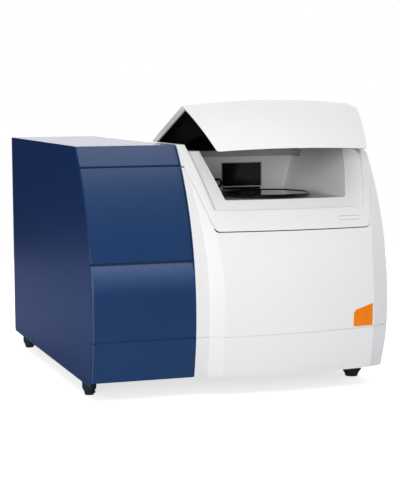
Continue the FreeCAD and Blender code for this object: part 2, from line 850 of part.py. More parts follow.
below_brim = crowned(lid_outline(0, deck_height), lid_skin + liner_wall, far_front, brim_back + over)
brim = brim_room.cut(below_brim.cut(corner_facet(lid_skin + liner_wall)))
back_foot = lid_foot + lid_gap + near_gap
front_back = prism_xz(lid_outline(-lid_gap - near_gap, deck_height - lid_skirt - near_gap), far_front, brim_back)
front_back = foot_rounded(front_back, mouth_round, back_foot).common(lid_behind).cut(liner_front)
front_back = front_back.cut(corner_facet(lid_skirt + near_gap))
liner = liner_outer.fuse([brim, brim_room.cut(liner_front), front_back]).cut(liner_inner)
shapes["lid_liner"] = in_lid_pose(liner.removeSplitter())

knuckles = []
pins = []
for x0, x1 in ((knuckle_start, knuckle_start + knuckle_length), (knuckle_stop - knuckle_length, knuckle_stop)):
    barrel = rod(knuckle_radius, V(x0, hinge_y, hinge_z), V(x1, hinge_y, hinge_z))
    leaf = box(x0, x1, hinge_y - 2 * knuckle_radius, hinge_y, hinge_z, deck_height + lid_crown)
    roof = crowned(lid_outline(-lid_gap - lid_skin, deck_height), lid_skin, far_front, hinge_y)
    knuckles.append(barrel.fuse(leaf.common(roof)).cut(lid_bore))
shapes["lid_hinge_knuckles"] = in_lid_pose(Part.makeCompound(knuckles))
left_pin = rod(hinge_pin_radius, V(rail_bore, hinge_y, hinge_z), V(rail_bore + hinge_pin_length, hinge_y, hinge_z))
right_end = machine_width - moulded_wall
right_pin = rod(hinge_pin_radius, V(right_end - hinge_pin_length, hinge_y, hinge_z), V(right_end, hinge_y, hinge_z))
shapes["hinge_pins"] = Part.makeCompound([left_pin, right_pin])

# Mouth gasket lying in the gutter on both sides of the mouth
gasket_parts = []
for sign, edge_x in ((-1, slant(lid_gutter, mouth_left_foot, sill_height, mouth_left_top)),
                     (1, slant(lid_gutter, mouth_right_foot, sill_height, mouth_right_top))):
    inner_x = edge_x + sign * gasket_width / 2
    outer_x = edge_x + sign * 1.5 * gasket_width
    strip = box(min(inner_x, outer_x), max(inner_x, outer_x), far_front, trough_front,
                lid_gutter, lid_gutter + gasket_height)
    gasket_parts.append(strip.common(white_form(ledge_depth + ledge_wall, 0, shut_height, deck_height, body_depth)))
shapes["mouth_gasket"] = Part.makeCompound(gasket_parts)

# Hinge rail: folded black sheet behind the tub that closes the gap below the top cover
rail_front = tub_back + tub_wall
rail_top = deck_height - moulded_wall
rail_low = rail_top - rail_height - sheet
hinge_rail = box(lid_left_ridge, lid_right_ridge, rail_front, rail_front + sheet, rail_low, rail_top)
rail_roof = box(lid_left_ridge, lid_right_ridge, rail_front, rail_front + rail_depth, rail_top - sheet, rail_top)
rail_floor = box(lid_left_ridge, lid_right_ridge, rail_front, rail_front + rail_depth, rail_low, rail_low + sheet)
shapes["hinge_rail"] = hinge_rail.fuse([rail_roof, rail_floor]).removeSplitter()

# Turntable and its drive
table_bottom = tub_floor + table_lift
table_top = table_bottom + table_thickness
hub_bottom = table_bottom - hub_length
glass_seat = table_top - table_glass_thickness
shapes["turntable"] = turned(
    [(hub_inner, hub_bottom), (hub_outer, hub_bottom), (hub_outer, table_bottom),
     (table_radius - 1, table_bottom), (table_radius, table_bottom + 1), (table_radius, table_top - 0.6),
     (table_radius - 0.6, table_top), (table_glass_radius, table_top), (table_glass_radius, glass_seat),
     (hub_inner, glass_seat)], table_centre, V(0, 0, 1))
shapes["turntable_glass"] = rod(table_glass_radius, above(table_centre, glass_seat), above(table_centre, table_top))
bearing_bottom = floor_under - bearing_height + tub_wall
shapes["turntable_bearing"] = turned(
    [(hub_outer + running_gap, bearing_bottom), (bearing_radius + bearing_flange, bearing_bottom),
     (bearing_radius + bearing_flange, floor_under), (bearing_radius, floor_under), (bearing_radius, tub_floor),
     (hub_outer + running_gap, tub_floor)], table_centre, V(0, 0, 1))
pulley_groove = (pulley_height - belt_height) / 2
shapes["hub_pulley"] = turned(
    [(hub_outer, hub_bottom), (hub_pulley_radius + pulley_flange, hub_bottom), (hub_pulley_radius + pulley_flange, hub_bottom + pulley_groove / 2),
     (hub_pulley_radius, hub_bottom + pulley_groove / 2),
     (hub_pulley_radius, hub_bottom + pulley_height - pulley_groove / 2),
     (hub_pulley_radius + pulley_flange, hub_bottom + pulley_height - pulley_groove / 2),
     (hub_pulley_radius + pulley_flange, hub_bottom + pulley_height), (hub_outer, hub_bottom + pulley_height)],
    table_centre, V(0, 0, 1))
motor_centre = V(table_x, table_y + motor_reach, 0)
motor_top = hub_bottom - motor_drop
shapes["motor_pulley"] = turned(
    [(motor_shaft_radius, hub_bottom), (motor_pulley_radius + pulley_flange, hub_bottom),
     (motor_pulley_radius + pulley_flange, hub_bottom + pulley_groove / 2), (motor_pulley_radius, hub_bottom + pulley_groove / 2),
     (motor_pulley_radius, hub_bottom + pulley_height - pulley_groove / 2),
     (motor_pulley_radius + pulley_flange, hub_bottom + pulley_height - pulley_groove / 2),
     (motor_pulley_radius + pulley_flange, hub_bottom + pulley_height), (motor_shaft_radius, hub_bottom + pulley_height)],
    motor_centre, V(0, 0, 1))


def belt_loop(grow, z0, z1):
    # Two pulley arcs joined by their common outer tangents
    big = hub_pulley_radius + grow
    small = motor_pulley_radius + grow
    turn = math.asin((big - small) / motor_reach)
    side = V(math.cos(turn), math.sin(turn), 0)
    mirror = V(-side.x, side.y, 0)
    first = above(table_centre, z0)
    second = above(motor_centre, z0)
    back = Part.Arc(first + side * big, first - V(0, big, 0), first + mirror * big).toShape()
    front = Part.Arc(second + side * small, second + V(0, small, 0), second + mirror * small).toShape()
    runs = [Part.makeLine(first + side * big, second + side * small),
            Part.makeLine(first + mirror * big, second + mirror * small)]
    wire = Part.Wire(Part.__sortEdges__([back, front] + runs))
    return Part.Face(wire).extrude(V(0, 0, z1 - z0))


belt_low = hub_bottom + pulley_groove
shapes["drive_belt"] = belt_loop(near_gap + belt_thickness, belt_low, belt_low + belt_height).cut(
    belt_loop(near_gap, belt_low, belt_low + belt_height))
half_motor = motor_side / 2
motor_low = motor_top - motor_height
motor_box = box(motor_centre.x - half_motor, motor_centre.x + half_motor, motor_centre.y - half_motor,
                motor_centre.y + half_motor, motor_low, motor_top)
motor_box = motor_box.makeChamfer(motor_chamfer, [e for e in motor_box.Edges if upright(e)])
shaft_foot = motor_top - motor_height / 2
motor_box = motor_box.cut(rod(motor_shaft_radius + running_gap, above(motor_centre, shaft_foot), above(motor_centre, motor_top)))
shapes["turntable_motor"] = motor_box
motor_shaft = rod(motor_shaft_radius, above(motor_centre, shaft_foot + near_gap),
                  above(motor_centre, hub_bottom + pulley_height))
shapes["motor_pulley"] = shapes["motor_pulley"].fuse(motor_shaft).removeSplitter()
bracket_left = motor_centre.x - half_motor - bracket_reach
bracket_right = motor_centre.x + half_motor + bracket_reach
bracket = box(bracket_left, bracket_right, motor_centre.y - half_motor, motor_centre.y + half_motor,
              motor_top, motor_top + bracket_sheet)
bracket = bracket.cut(rod(motor_boss, above(motor_centre, motor_top - over),
                          above(motor_centre, motor_top + bracket_sheet + over)))
for x in (bracket_left, bracket_right - bracket_sheet):
    bracket = bracket.fuse(box(x, x + bracket_sheet, motor_centre.y - half_motor, motor_centre.y + half_motor,
                               motor_top, floor_under))
shapes["motor_bracket"] = bracket.removeSplitter()

# Base pan, centre divider and feet
pan_top = sheet_bottom + pan_thickness
pan_right = machine_width - moulded_wall - skirt_tuck - over
pan_back = body_depth - rear_sheet
pan_rim = pan_top + pan_edge
ramp_foot = pan_front + pan_ramp
pan = prism_yz([(pan_front, skirt_bottom), (ramp_foot, sheet_bottom), (pan_back, sheet_bottom), (pan_back, pan_rim),
                (pan_front, pan_rim)], sheet, pan_right)


def pan_room(x0, x1, top):
    # Space inside the pan's rim, above its floor and front ramp
    front = pan_front + pan_thickness
    back = pan_back - pan_thickness
    return prism_yz([(front, skirt_bottom + pan_thickness), (ramp_foot, pan_top), (back, pan_top), (back, top),
                     (front, top)], x0, x1)


pan_well = pan_room(sheet + pan_thickness, pan_right - pan_thickness, pan_rim + over)
foot_places = []
for x in (foot_inset_left, machine_width - foot_inset_right):
    for y in (foot_front, body_depth - foot_rear_inset):
        foot_places.append(V(x, y, 0))
base_pan = pan.cut(pan_well)
for place in foot_places:
    base_pan = base_pan.cut(rod(foot_screw_radius, above(place, 0), above(place, pan_top + over)))
shapes["base_pan"] = base_pan
divider = bowed_block(blue_width - divider_sheet, blue_width, pan_rim, deck_height,
                      frame_inset, body_depth - rear_sheet)
foot_tab = pan_room(blue_width - divider_sheet, blue_width, pan_rim)
shapes["centre_divider"] = divider.fuse(foot_tab).removeSplitter()
feet = []
foot_screws = []
foot_side = [(0, 0), (foot_radius - foot_taper, 0), (foot_radius, foot_taper)]
for i in range(foot_steps + 1):
    share = i / foot_steps
    foot_side.append((foot_radius + (foot_flare - foot_radius) * share ** 2,
                      foot_waist + (sheet_bottom - foot_band - foot_waist) * share))
foot_side += [(foot_flare, sheet_bottom), (0, sheet_bottom)]
for place in foot_places:
    rubber = turned(foot_side, place, V(0, 0, 1))
    rubber = rubber.cut(rod(foot_screw_radius + foot_screw_head + near_gap, above(place, 0), above(place, foot_recess)))
    rubber = rubber.cut(rod(foot_screw_radius, above(place, 0), above(place, sheet_bottom)))
    feet.append(rubber)
    screw = rod(foot_screw_radius, above(place, foot_recess), above(place, pan_top + foot_screw_reach))
    head = rod(foot_screw_radius + foot_screw_head, above(place, foot_recess / 2), above(place, foot_recess))
    foot_screws.append(screw.fuse(head).removeSplitter())
shapes["rubber_feet"] = Part.makeCompound(feet)

# Rear panel with vents and fittings
rear_front = body_depth - rear_sheet
rear = box(0, machine_width, rear_front, body_depth, rear_bottom, deck_height)
rear = rear.makeFillet(rear_round, [
    e for e in rear.Edges if e.BoundBox.YLength > 1 and e.BoundBox.ZMin > deck_height - over])
for i in range(vent_count):
    z = vent_bottom + i * vent_pitch
    rear = rear.cut(pill_xz(vent_x - vent_length / 2, vent_x + vent_length / 2, z, vent_width,
                            rear_front - over, body_depth + over))
fan_centre = V(fan_x, rear_front, fan_z)
rear = rear.cut(rod(fan_bore, V(fan_x, rear_front - over, fan_z), V(fan_x, body_depth + over, fan_z)))
rear = rear.cut(box(inlet_x - inlet_width / 2, inlet_x + inlet_width / 2, rear_front - over, body_depth + over,
                    inlet_z - inlet_height / 2, inlet_z + inlet_height / 2))
rear = rear.cut(box(port_x - port_plate_width / 2, port_x + port_plate_width / 2, rear_front - over, body_depth + over,
                    port_z - port_plate_height / 2, port_z + port_plate_height / 2))
screw_places = []
for x in (screw_inset, blue_width / 2, blue_width + screw_inset, machine_width - screw_inset):
    for z in (rear_bottom + screw_inset, deck_height - screw_inset):
        screw_places.append((x, z))
rear_screws = []
for x, z in screw_places:
    rear = rear.cut(rod(screw_shank, V(x, rear_front - over, z), V(x, body_depth + over, z)))
    shank = rod(screw_shank, V(x, rear_front, z), V(x, body_depth, z))
    head = turned([(0, 0), (screw_head_radius, 0), (screw_head_radius - screw_head_bevel, screw_head_height),
                   (0, screw_head_height)], V(x, body_depth, z), V(0, 1, 0))
    rear_screws.append(shank.fuse(head))
shapes["rear_panel"] = rear
shapes["housing_screws"] = Part.makeCompound(rear_screws + foot_screws)

# Cooling fan
half_fan = fan_side / 2
fan_front = rear_front - fan_depth
fan_frame = box(fan_x - half_fan, fan_x + half_fan, fan_front, rear_front, fan_z - half_fan, fan_z + half_fan)
fan_frame = fan_frame.makeFillet(fan_corner, [e for e in fan_frame.Edges if e.BoundBox.YLength > 1])
fan_frame = fan_frame.cut(rod(fan_bore, V(fan_x, fan_front - over, fan_z), V(fan_x, rear_front + over, fan_z)))
web_rear = fan_front + fan_web
spider = rod(fan_hub, V(fan_x, fan_front, fan_z), V(fan_x, web_rear, fan_z))
arm_turns = [360.0 * (i + 0.5) / fan_arms for i in range(fan_arms)]
for turn in arm_turns:
    arm = box(fan_x, fan_x + fan_bore + over, fan_front, web_rear, fan_z - fan_web / 2, fan_z + fan_web / 2)
    arm.rotate(V(fan_x, 0, fan_z), V(0, 1, 0), turn)
    spider = spider.fuse(arm)
fan_pin = rod(fan_spindle, V(fan_x, fan_front, fan_z), V(fan_x, rear_front - fan_spindle_stop, fan_z))
shapes["fan_frame"] = fan_frame.fuse([spider, fan_pin]).removeSplitter()
rotor_front = web_rear + near_gap
rotor_rear = rear_front - fan_web
rotor = rod(fan_hub, V(fan_x, rotor_front, fan_z), V(fan_x, rotor_rear, fan_z))
blade_depth = rotor_rear - rotor_front - 2 * over
for i in range(fan_blades):
    chord = blade_depth / math.cos(math.radians(fan_blade_pitch))
    blade = box(fan_x + fan_hub - over, fan_x + fan_blade_tip, -chord / 2, chord / 2,
                fan_z - fan_blade_thickness / 2, fan_z + fan_blade_thickness / 2)
    blade.rotate(V(fan_x, 0, fan_z), V(1, 0, 0), fan_blade_pitch)
    blade.translate(V(0, (rotor_front + rotor_rear) / 2, 0))
    blade.rotate(V(fan_x, 0, fan_z), V(0, 1, 0), 360.0 * i / fan_blades)
    rotor = rotor.fuse(blade)
limit = rod(fan_blade_tip, V(fan_x, rotor_front, fan_z), V(fan_x, rotor_rear, fan_z))
rotor = rotor.common(limit)
spindle_bore_rear = rear_front - fan_spindle_stop + near_gap
shapes["fan_rotor"] = rotor.cut(
    rod(fan_spindle + running_gap, V(fan_x, rotor_front, fan_z), V(fan_x, spindle_bore_rear, fan_z)))
guard_y = body_depth + guard_wire
guard = []
guard_inner = 0.6 * fan_hub
guard_step = (fan_bore + over - guard_inner) / (guard_rings - 1)
for i in range(guard_rings):
    radius = guard_inner + guard_step * i
    guard.append(ring(radius + guard_wire / 2, radius - guard_wire / 2,
                      V(fan_x, body_depth, fan_z), V(fan_x, guard_y, fan_z)))
for turn in arm_turns:
    spoke = box(fan_x, fan_x + fan_bore + guard_reach, body_depth, guard_y,
                fan_z - guard_wire / 2, fan_z + guard_wire / 2)
    spoke.rotate(V(fan_x, 0, fan_z), V(0, 1, 0), turn)
    guard.append(spoke)
shapes["fan_guard"] = guard[0].fuse(guard[1:]).removeSplitter()

# Power inlet with rocker and fuse drawer, one above the other
inlet_low = inlet_z - inlet_height / 2
inlet_high = inlet_z + inlet_height / 2
inlet_left = inlet_x - inlet_width / 2
inlet_back = body_depth + inlet_flange
inlet_body = box(inlet_left, inlet_left + inlet_width, body_depth - inlet_depth, body_depth, inlet_low, inlet_high)
inlet_plate = box(inlet_left - inlet_rim, inlet_left + inlet_width + inlet_rim, body_depth, inlet_back,
                  inlet_low - inlet_rim, inlet_high + inlet_rim)
inlet = inlet_body.fuse(inlet_plate).removeSplitter()
socket_z = inlet_low + socket_height / 2 + socket_margin
socket = box(inlet_x - socket_width / 2, inlet_x + socket_width / 2, inlet_back - socket_depth, inlet_back + over,
             socket_z - socket_height / 2, socket_z + socket_height / 2)
socket = socket.makeChamfer(socket_chamfer, [
    e for e in socket.Edges if e.BoundBox.YLength > 1 and e.BoundBox.ZMin > socket_z])
inlet = inlet.cut(socket)
for side in (-1, 0, 1):
    pin_x = inlet_x + side * pin_spread
    pin_z = socket_z + (1 - 1.6 * abs(side)) * pin_half_height
    blade = box(pin_x - pin_half_width, pin_x + pin_half_width, inlet_back - socket_depth, inlet_back - pin_recess,
                pin_z - pin_half_height, pin_z + pin_half_height)
    inlet = inlet.fuse(blade)
fuse_z = socket_z + socket_height / 2 + socket_margin + fuse_height / 2
rocker_z = inlet_high - rocker_margin - rocker_height / 2
rocker_well = box(inlet_x - rocker_width / 2 - near_gap, inlet_x + rocker_width / 2 + near_gap,
                  inlet_back - rocker_well_depth, inlet_back + over, rocker_z - rocker_height / 2 - near_gap,
                  rocker_z + rocker_height / 2 + near_gap)
fuse_bed = inlet_back - fuse_groove_width
half_fuse = socket_width / 2
fuse_groove = box(inlet_x - half_fuse, inlet_x + half_fuse, fuse_bed, inlet_back + over,
                  fuse_z - fuse_height / 2, fuse_z + fuse_height / 2)
half_fuse -= fuse_groove_width
fuse_front = box(inlet_x - half_fuse, inlet_x + half_fuse, fuse_bed, inlet_back,
                 fuse_z - fuse_height / 2 + fuse_groove_width, fuse_z + fuse_height / 2 - fuse_groove_width)
inlet = inlet.cut(rocker_well).cut(fuse_groove).fuse(fuse_front)
rocker_axis_y = inlet_back - rocker_pivot
rocker_pin = rod(rocker_pin_radius, V(inlet_x - rocker_width / 2 - near_gap, rocker_axis_y, rocker_z),
                 V(inlet_x + rocker_width / 2 + near_gap, rocker_axis_y, rocker_z))
shapes["power_inlet"] = inlet.fuse(rocker_pin).removeSplitter()
half_rocker = rocker_height / 2
rise = half_rocker * math.tan(math.radians(rocker_tilt))
rocker_face = inlet_back + rocker_proud
rocker_end = half_rocker - rocker_play
rocker_side = [(rocker_axis_y - rocker_heel, rocker_z - half_rocker * 0.6), (inlet_back - 0.4, rocker_z - rocker_end),
               (rocker_face - rise, rocker_z - rocker_end), (rocker_face - rise * 0.55, rocker_z),
               (rocker_face + rise * 0.3, rocker_z + rocker_end), (inlet_back - 0.4, rocker_z + rocker_end),
               (rocker_axis_y - rocker_heel, rocker_z + half_rocker * 0.6)]
rocker = prism_yz(rocker_side, inlet_x - rocker_width / 2, inlet_x + rocker_width / 2)
shapes["power_rocker"] = rocker.cut(rod(rocker_pin_radius + running_gap, V(inlet_x - rocker_width, rocker_axis_y, rocker_z),
                                        V(inlet_x + rocker_width, rocker_axis_y, rocker_z)))
ports = box(port_x - port_plate_width / 2, port_x + port_plate_width / 2, rear_front - port_plate_depth,
            body_depth + port_proud, port_z - port_plate_height / 2, port_z + port_plate_height / 2)
for offset, wide, tall in ((network_offset, network_width, network_height), (flat_offset, flat_width, flat_height),
                           (square_offset, square_width, square_height)):
    x = port_x + offset
    ports = ports.cut(box(x - wide / 2, x + wide / 2, body_depth - port_depth, body_depth + port_proud + over,
                          port_z - tall / 2, port_z + tall / 2))
shapes["data_ports"] = ports

# Optical bench on four damped pillars
bench_top = bench_bottom + bench_thickness
bench = box(bench_left, bench_right, bench_front, bench_rear, bench_bottom, bench_top)
bench = bench.makeFillet(bench_corner, [e for e in bench.Edges if upright(e)])
shapes["optical_bench"] = bench
pillars = []
for x in (bench_left + pillar_inset, bench_right - pillar_inset):
    for y in (bench_front + pillar_inset, bench_rear - pillar_inset):
        pillars.append(turned([(0, pan_top), (pillar_radius, pan_top),
                               (pillar_radius - pillar_waist, (pan_top + bench_bottom) / 2),
                               (pillar_radius, bench_bottom), (0, bench_bottom)], V(x, y, 0), V(0, 0, 1)))
shapes["bench_dampers"] = Part.makeCompound(pillars)

mono_top = motor_low - mono_under_motor - scan_motor_height - mono_cover
beam_z = bench_top + beam_share * (mono_top - bench_top)
entry_x = mono_right - entry_inset
exit_x = table_x
grating_x = table_x - grating_offset
grating_y = mono_front + grating_setback
mono = box(mono_left, mono_right, mono_front, mono_rear, bench_top, mono_top)
mono = mono.makeFillet(mono_corner, [e for e in mono.Edges if upright(e)])
mono_well = box(mono_left + mono_wall, mono_right - mono_wall, mono_front + mono_wall, mono_rear - mono_wall,
                bench_top + mono_wall, mono_top + over)
mono = mono.cut(mono_well)
mono = mono.cut(rod(port_radius, V(entry_x, mono_rear - mono_wall - over, beam_z), V(entry_x, mono_rear + over, beam_z)))
mono = mono.cut(rod(port_radius, V(exit_x, mono_front - over, beam_z), V(exit_x, mono_front + mono_wall + over, beam_z)))
shapes["monochromator_housing"] = mono
scan_shaft_top = mono_top + mono_cover
cover = box(mono_left, mono_right, mono_front, mono_rear, mono_top, mono_top + mono_cover)
cover = cover.makeFillet(mono_corner, [e for e in cover.Edges if upright(e)])
grating_centre = V(grating_x, grating_y, 0)
shapes["monochromator_cover"] = cover.cut(
    rod(grating_shaft_radius + running_gap, above(grating_centre, mono_top - over), above(grating_centre, scan_shaft_top + over)))
mirror_y = mono_front + mono_wall + mirror_thickness / 2
mirror = rod(mirror_radius, V(entry_x, mirror_y, beam_z), V(entry_x, mirror_y + mirror_thickness, beam_z))
mirror_stand = box(entry_x - mirror_radius / 2, entry_x + mirror_radius / 2, mirror_y, mirror_y + mirror_thickness,
                   bench_top + mono_wall, beam_z - mirror_radius / 2)
collimator = mirror.fuse(mirror_stand).removeSplitter()
slits = []
for x, y in ((entry_x, mono_rear - mono_wall), (exit_x, mono_front + mono_wall)):
    back = -slit_plate if y > grating_y else 0.0
    plate = rod(port_radius + slit_rim, V(x, y + back, beam_z), V(x, y + back + slit_plate, beam_z))
    slits.append(plate.cut(box(x - slit_width / 2, x + slit_width / 2, y - 2 * slit_plate, y + 2 * slit_plate,
                               beam_z - slit_height / 2, beam_z + slit_height / 2)))
shapes["slit_plates"] = Part.makeCompound(slits)
table_low = beam_z - grating_side / 2 - grating_table_height
table_high = table_low + grating_table_height
grating_table = rod(grating_table_radius, above(grating_centre, table_low), above(grating_centre, table_high))
roof_low = beam_z + grating_side / 2
grating_left = grating_x - grating_side / 2
grating_right = grating_x + grating_side / 2
grating_bed = grating_y - grating_lead
yoke = box(grating_left, grating_right, grating_bed - grating_thickness, grating_bed, table_high, roof_low)
head_bar = box(grating_left, grating_right, grating_bed - grating_thickness, grating_y + grating_shaft_radius,
               roof_low, roof_low + yoke_bar)
scan_shaft = rod(grating_shaft_radius, above(grating_centre, roof_low),
                 above(grating_centre, scan_shaft_top + scan_motor_height / 2))
shapes["grating_mount"] = grating_table.fuse([yoke, head_bar, scan_shaft]).removeSplitter()
grating_face = grating_bed + grating_thickness
grating = box(grating_left, grating_right, grating_bed, grating_face, table_high, roof_low - over)
groove_steps = int(grating_side / groove_pitch) - 1
for i in range(groove_steps):
    x = grating_left + (i + 1) * groove_pitch
    grating = grating.cut(box(x - groove_depth / 2, x + groove_depth / 2, grating_face - groove_depth,
                              grating_face + over, table_low, roof_low))
shapes["diffraction_grating"] = grating
scan_bore = grating_shaft_radius + running_gap
scan_bore_top = scan_motor_height / 2 + over
scan_motor = turned([(scan_bore, 0), (scan_motor_radius, 0), (scan_motor_radius, scan_motor_height - scan_motor_bevel),
                     (scan_motor_radius - scan_motor_bevel, scan_motor_height), (0, scan_motor_height),
                     (0, scan_bore_top), (scan_bore, scan_bore_top)], above(grating_centre, scan_shaft_top), V(0, 0, 1))
shapes["scan_motor"] = scan_motor

# Lamp house with cooling fins, lamp and reflector
lamp_left = entry_x - lamp_half_width
lamp_right = entry_x + lamp_half_width
lamp_top = beam_z + lamp_over_beam
lamp_house = box(lamp_left, lamp_right, lamp_front, lamp_rear, bench_top, lamp_top)
lamp_house = lamp_house.cut(box(lamp_left + lamp_wall, lamp_right - lamp_wall, lamp_front + lamp_wall, lamp_rear - lamp_wall,
                                bench_top + lamp_wall, lamp_top - lamp_wall))
lamp_house = lamp_house.cut(rod(port_radius, V(entry_x, lamp_front - over, beam_z), V(entry_x, lamp_front + lamp_wall + over, beam_z)))
fin_pitch = (lamp_top - bench_top - 2 * fin_width) / fin_count
for i in range(fin_count):
    z = bench_top + fin_width + (i + 0.5) * fin_pitch
    for x0, x1 in ((lamp_left, lamp_left + fin_depth), (lamp_right - fin_depth, lamp_right)):
        lamp_house = lamp_house.cut(box(x0, x1, lamp_front - over, lamp_rear + over, z, z + fin_pitch - fin_width))
shapes["lamp_house"] = lamp_house
reflector_back = lamp_rear - lamp_wall
reflector_lip = reflector_depth + reflector_rim
reflector = turned([(bulb_radius, 0), (bulb_radius + reflector_foot, 0), (reflector_radius, reflector_depth),
                    (reflector_radius, reflector_lip), (reflector_radius - reflector_wall, reflector_lip),
                    (bulb_radius + reflector_foot - reflector_wall, reflector_foot), (bulb_radius, reflector_foot)],
                   V(entry_x, reflector_back, beam_z), V(0, -1, 0))
bulb = turned([(0, 0), (bulb_radius, 0), (bulb_radius, bulb_length), (bulb_radius - bulb_tip / 2, bulb_length + bulb_tip),
               (0, bulb_length + bulb_tip)], V(entry_x, reflector_back, beam_z), V(0, -1, 0))
shapes["reflector_lamp"] = reflector.fuse(bulb).removeSplitter()

# Filter wheel between the lamp and the entrance slit
wheel_axis_x = entry_x + filter_pitch_radius
wheel_y0 = mono_rear + wheel_motor_length + wheel_stand
wheel_y1 = wheel_y0 + wheel_thickness
wheel = rod(wheel_radius, V(wheel_axis_x, wheel_y0, beam_z), V(wheel_axis_x, wheel_y1, beam_z))
filters = []
for i in range(wheel_filters):
    angle = math.radians(180 + 360.0 * i / wheel_filters)
    x = wheel_axis_x + filter_pitch_radius * math.cos(angle)
    z = beam_z + filter_pitch_radius * math.sin(angle)
    hole = rod(filter_radius, V(x, wheel_y0, z), V(x, wheel_y1, z))
    wheel = wheel.cut(hole)
    filters.append(rod(filter_radius, V(x, wheel_y0 + filter_inset, z), V(x, wheel_y1 - filter_inset, z)))
wheel_motor_front = mono_rear + wheel_motor_length
wheel_shaft_end = wheel_motor_front - wheel_shaft_seat
wheel_shaft = rod(wheel_shaft_radius, V(wheel_axis_x, wheel_shaft_end, beam_z), V(wheel_axis_x, wheel_y1, beam_z))
shapes["filter_wheel"] = wheel.fuse(filters + [wheel_shaft])
half_wheel_motor = wheel_motor_side / 2
wheel_motor = box(wheel_axis_x - half_wheel_motor, wheel_axis_x + half_wheel_motor, mono_rear, wheel_motor_front,
                  beam_z - half_wheel_motor, beam_z + half_wheel_motor)
wheel_bore = rod(wheel_shaft_radius + running_gap, V(wheel_axis_x, wheel_shaft_end - near_gap, beam_z),
                 V(wheel_axis_x, wheel_motor_front + 1, beam_z))
shapes["filter_motor"] = wheel_motor.cut(wheel_bore)

# Fold block, light tube and detector head under the turntable
half_fold = fold_side / 2
head_bottom = mono_top
head_top = tub_floor - head_clearance
fold = box(table_x - half_fold, table_x + half_fold, table_y - half_fold, table_y + half_fold, bench_top, head_bottom)
fold_shaft = rod(light_bore, above(table_centre, beam_z), above(table_centre, head_bottom + over))
fold_inlet = rod(light_bore, V(table_x, table_y, beam_z), V(table_x, table_y + half_fold + over, beam_z))
room_reach = light_bore + fold_room_reach
fold_room = box(table_x - light_bore, table_x + light_bore, table_y - room_reach, table_y + light_bore,
                beam_z - room_reach, beam_z + light_bore)
fold = fold.cut(fold_shaft).cut(fold_inlet).cut(fold_room)
mirror_bed = [(table_y - room_reach, beam_z - room_reach), (table_y + light_bore, beam_z - room_reach),
              (table_y - room_reach, beam_z + light_bore)]
fold_mirror = prism_yz(mirror_bed, table_x - light_bore, table_x + light_bore)
shapes["beam_mirrors"] = Part.makeCompound([collimator, fold_mirror])
light_tube = ring(tube_outer, light_bore, V(exit_x, table_y + half_fold, beam_z), V(exit_x, mono_front, beam_z))
shapes["fold_block"] = fold.fuse(light_tube).removeSplitter()
head = rod(head_radius, above(table_centre, head_bottom), above(table_centre, head_top))
head = head.cut(rod(light_bore, above(table_centre, head_bottom), above(table_centre, head_top)))
window_seat = head_top - head_window_thickness
head = head.cut(rod(head_window_radius, above(table_centre, window_seat), above(table_centre, head_top)))
shapes["detector_head"] = head
shapes["measuring_window"] = rod(head_window_radius, above(table_centre, window_seat), above(table_centre, head_top))

# Electronics in the blue bay
board_right = blue_width - divider_sheet - standoff_length
board = box(board_right - board_thickness, board_right, board_front, board_rear, board_bottom, board_top)
board_face = board_right - board_thickness
board_length = board_rear - board_front
board_width = board_top - board_bottom
chips = []
for along, up, side, rise in chip_shares:
    y = board_front + along * board_length
    z = board_bottom + up * board_width
    half = side * board_width / 2
    chips.append(box(board_face - rise * chip_thickness, board_face, y - half, y + half, z - half, z + half))
standoffs = []
for y in (board_front + standoff_inset, board_rear - standoff_inset):
    for z in (board_bottom + standoff_inset, board_top - standoff_inset):
        standoffs.append(rod(standoff_radius, V(board_right, y, z), V(board_right + standoff_length, y, z)))
shapes["main_board"] = board.fuse(chips + standoffs)
supply = box(supply_left, supply_right, supply_front, supply_rear, pan_top, pan_top + supply_height)
supply = supply.cut(box(supply_left + supply_sheet, supply_right - supply_sheet, supply_front + supply_sheet,
                        supply_rear - supply_sheet, pan_top + supply_sheet, pan_top + supply_height - supply_sheet))
for i in range(supply_slots):
    y = supply_front + (i + 1) * (supply_rear - supply_front) / (supply_slots + 1)
    supply = supply.cut(box(supply_left + supply_slot_inset, supply_right - supply_slot_inset,
                            y - supply_slot_width / 2, y + supply_slot_width / 2,
                            pan_top + supply_height - 2 * supply_sheet, pan_top + supply_height + over))
shapes["power_supply"] = supply

# Every piece is written with the middle of the machine's footprint at the origin
rear_reach = max(body_depth + inlet_flange, guard_y)
rear_reach = max(rear_reach, rocker_face + rise * 0.3)
to_origin = V(-machine_width / 2, -(front_reach + rear_reach) / 2, 0)
os.makedirs("parts", exist_ok=True)
for name, shape in shapes.items():
    placed = shape.copy()
    placed.translate(to_origin)
    placed.exportStep("parts/" + name + ".step")
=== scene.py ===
import bmesh
import bpy
import json
import math
from mathutils import Matrix, Vector
from mathutils.bvhtree import BVHTree


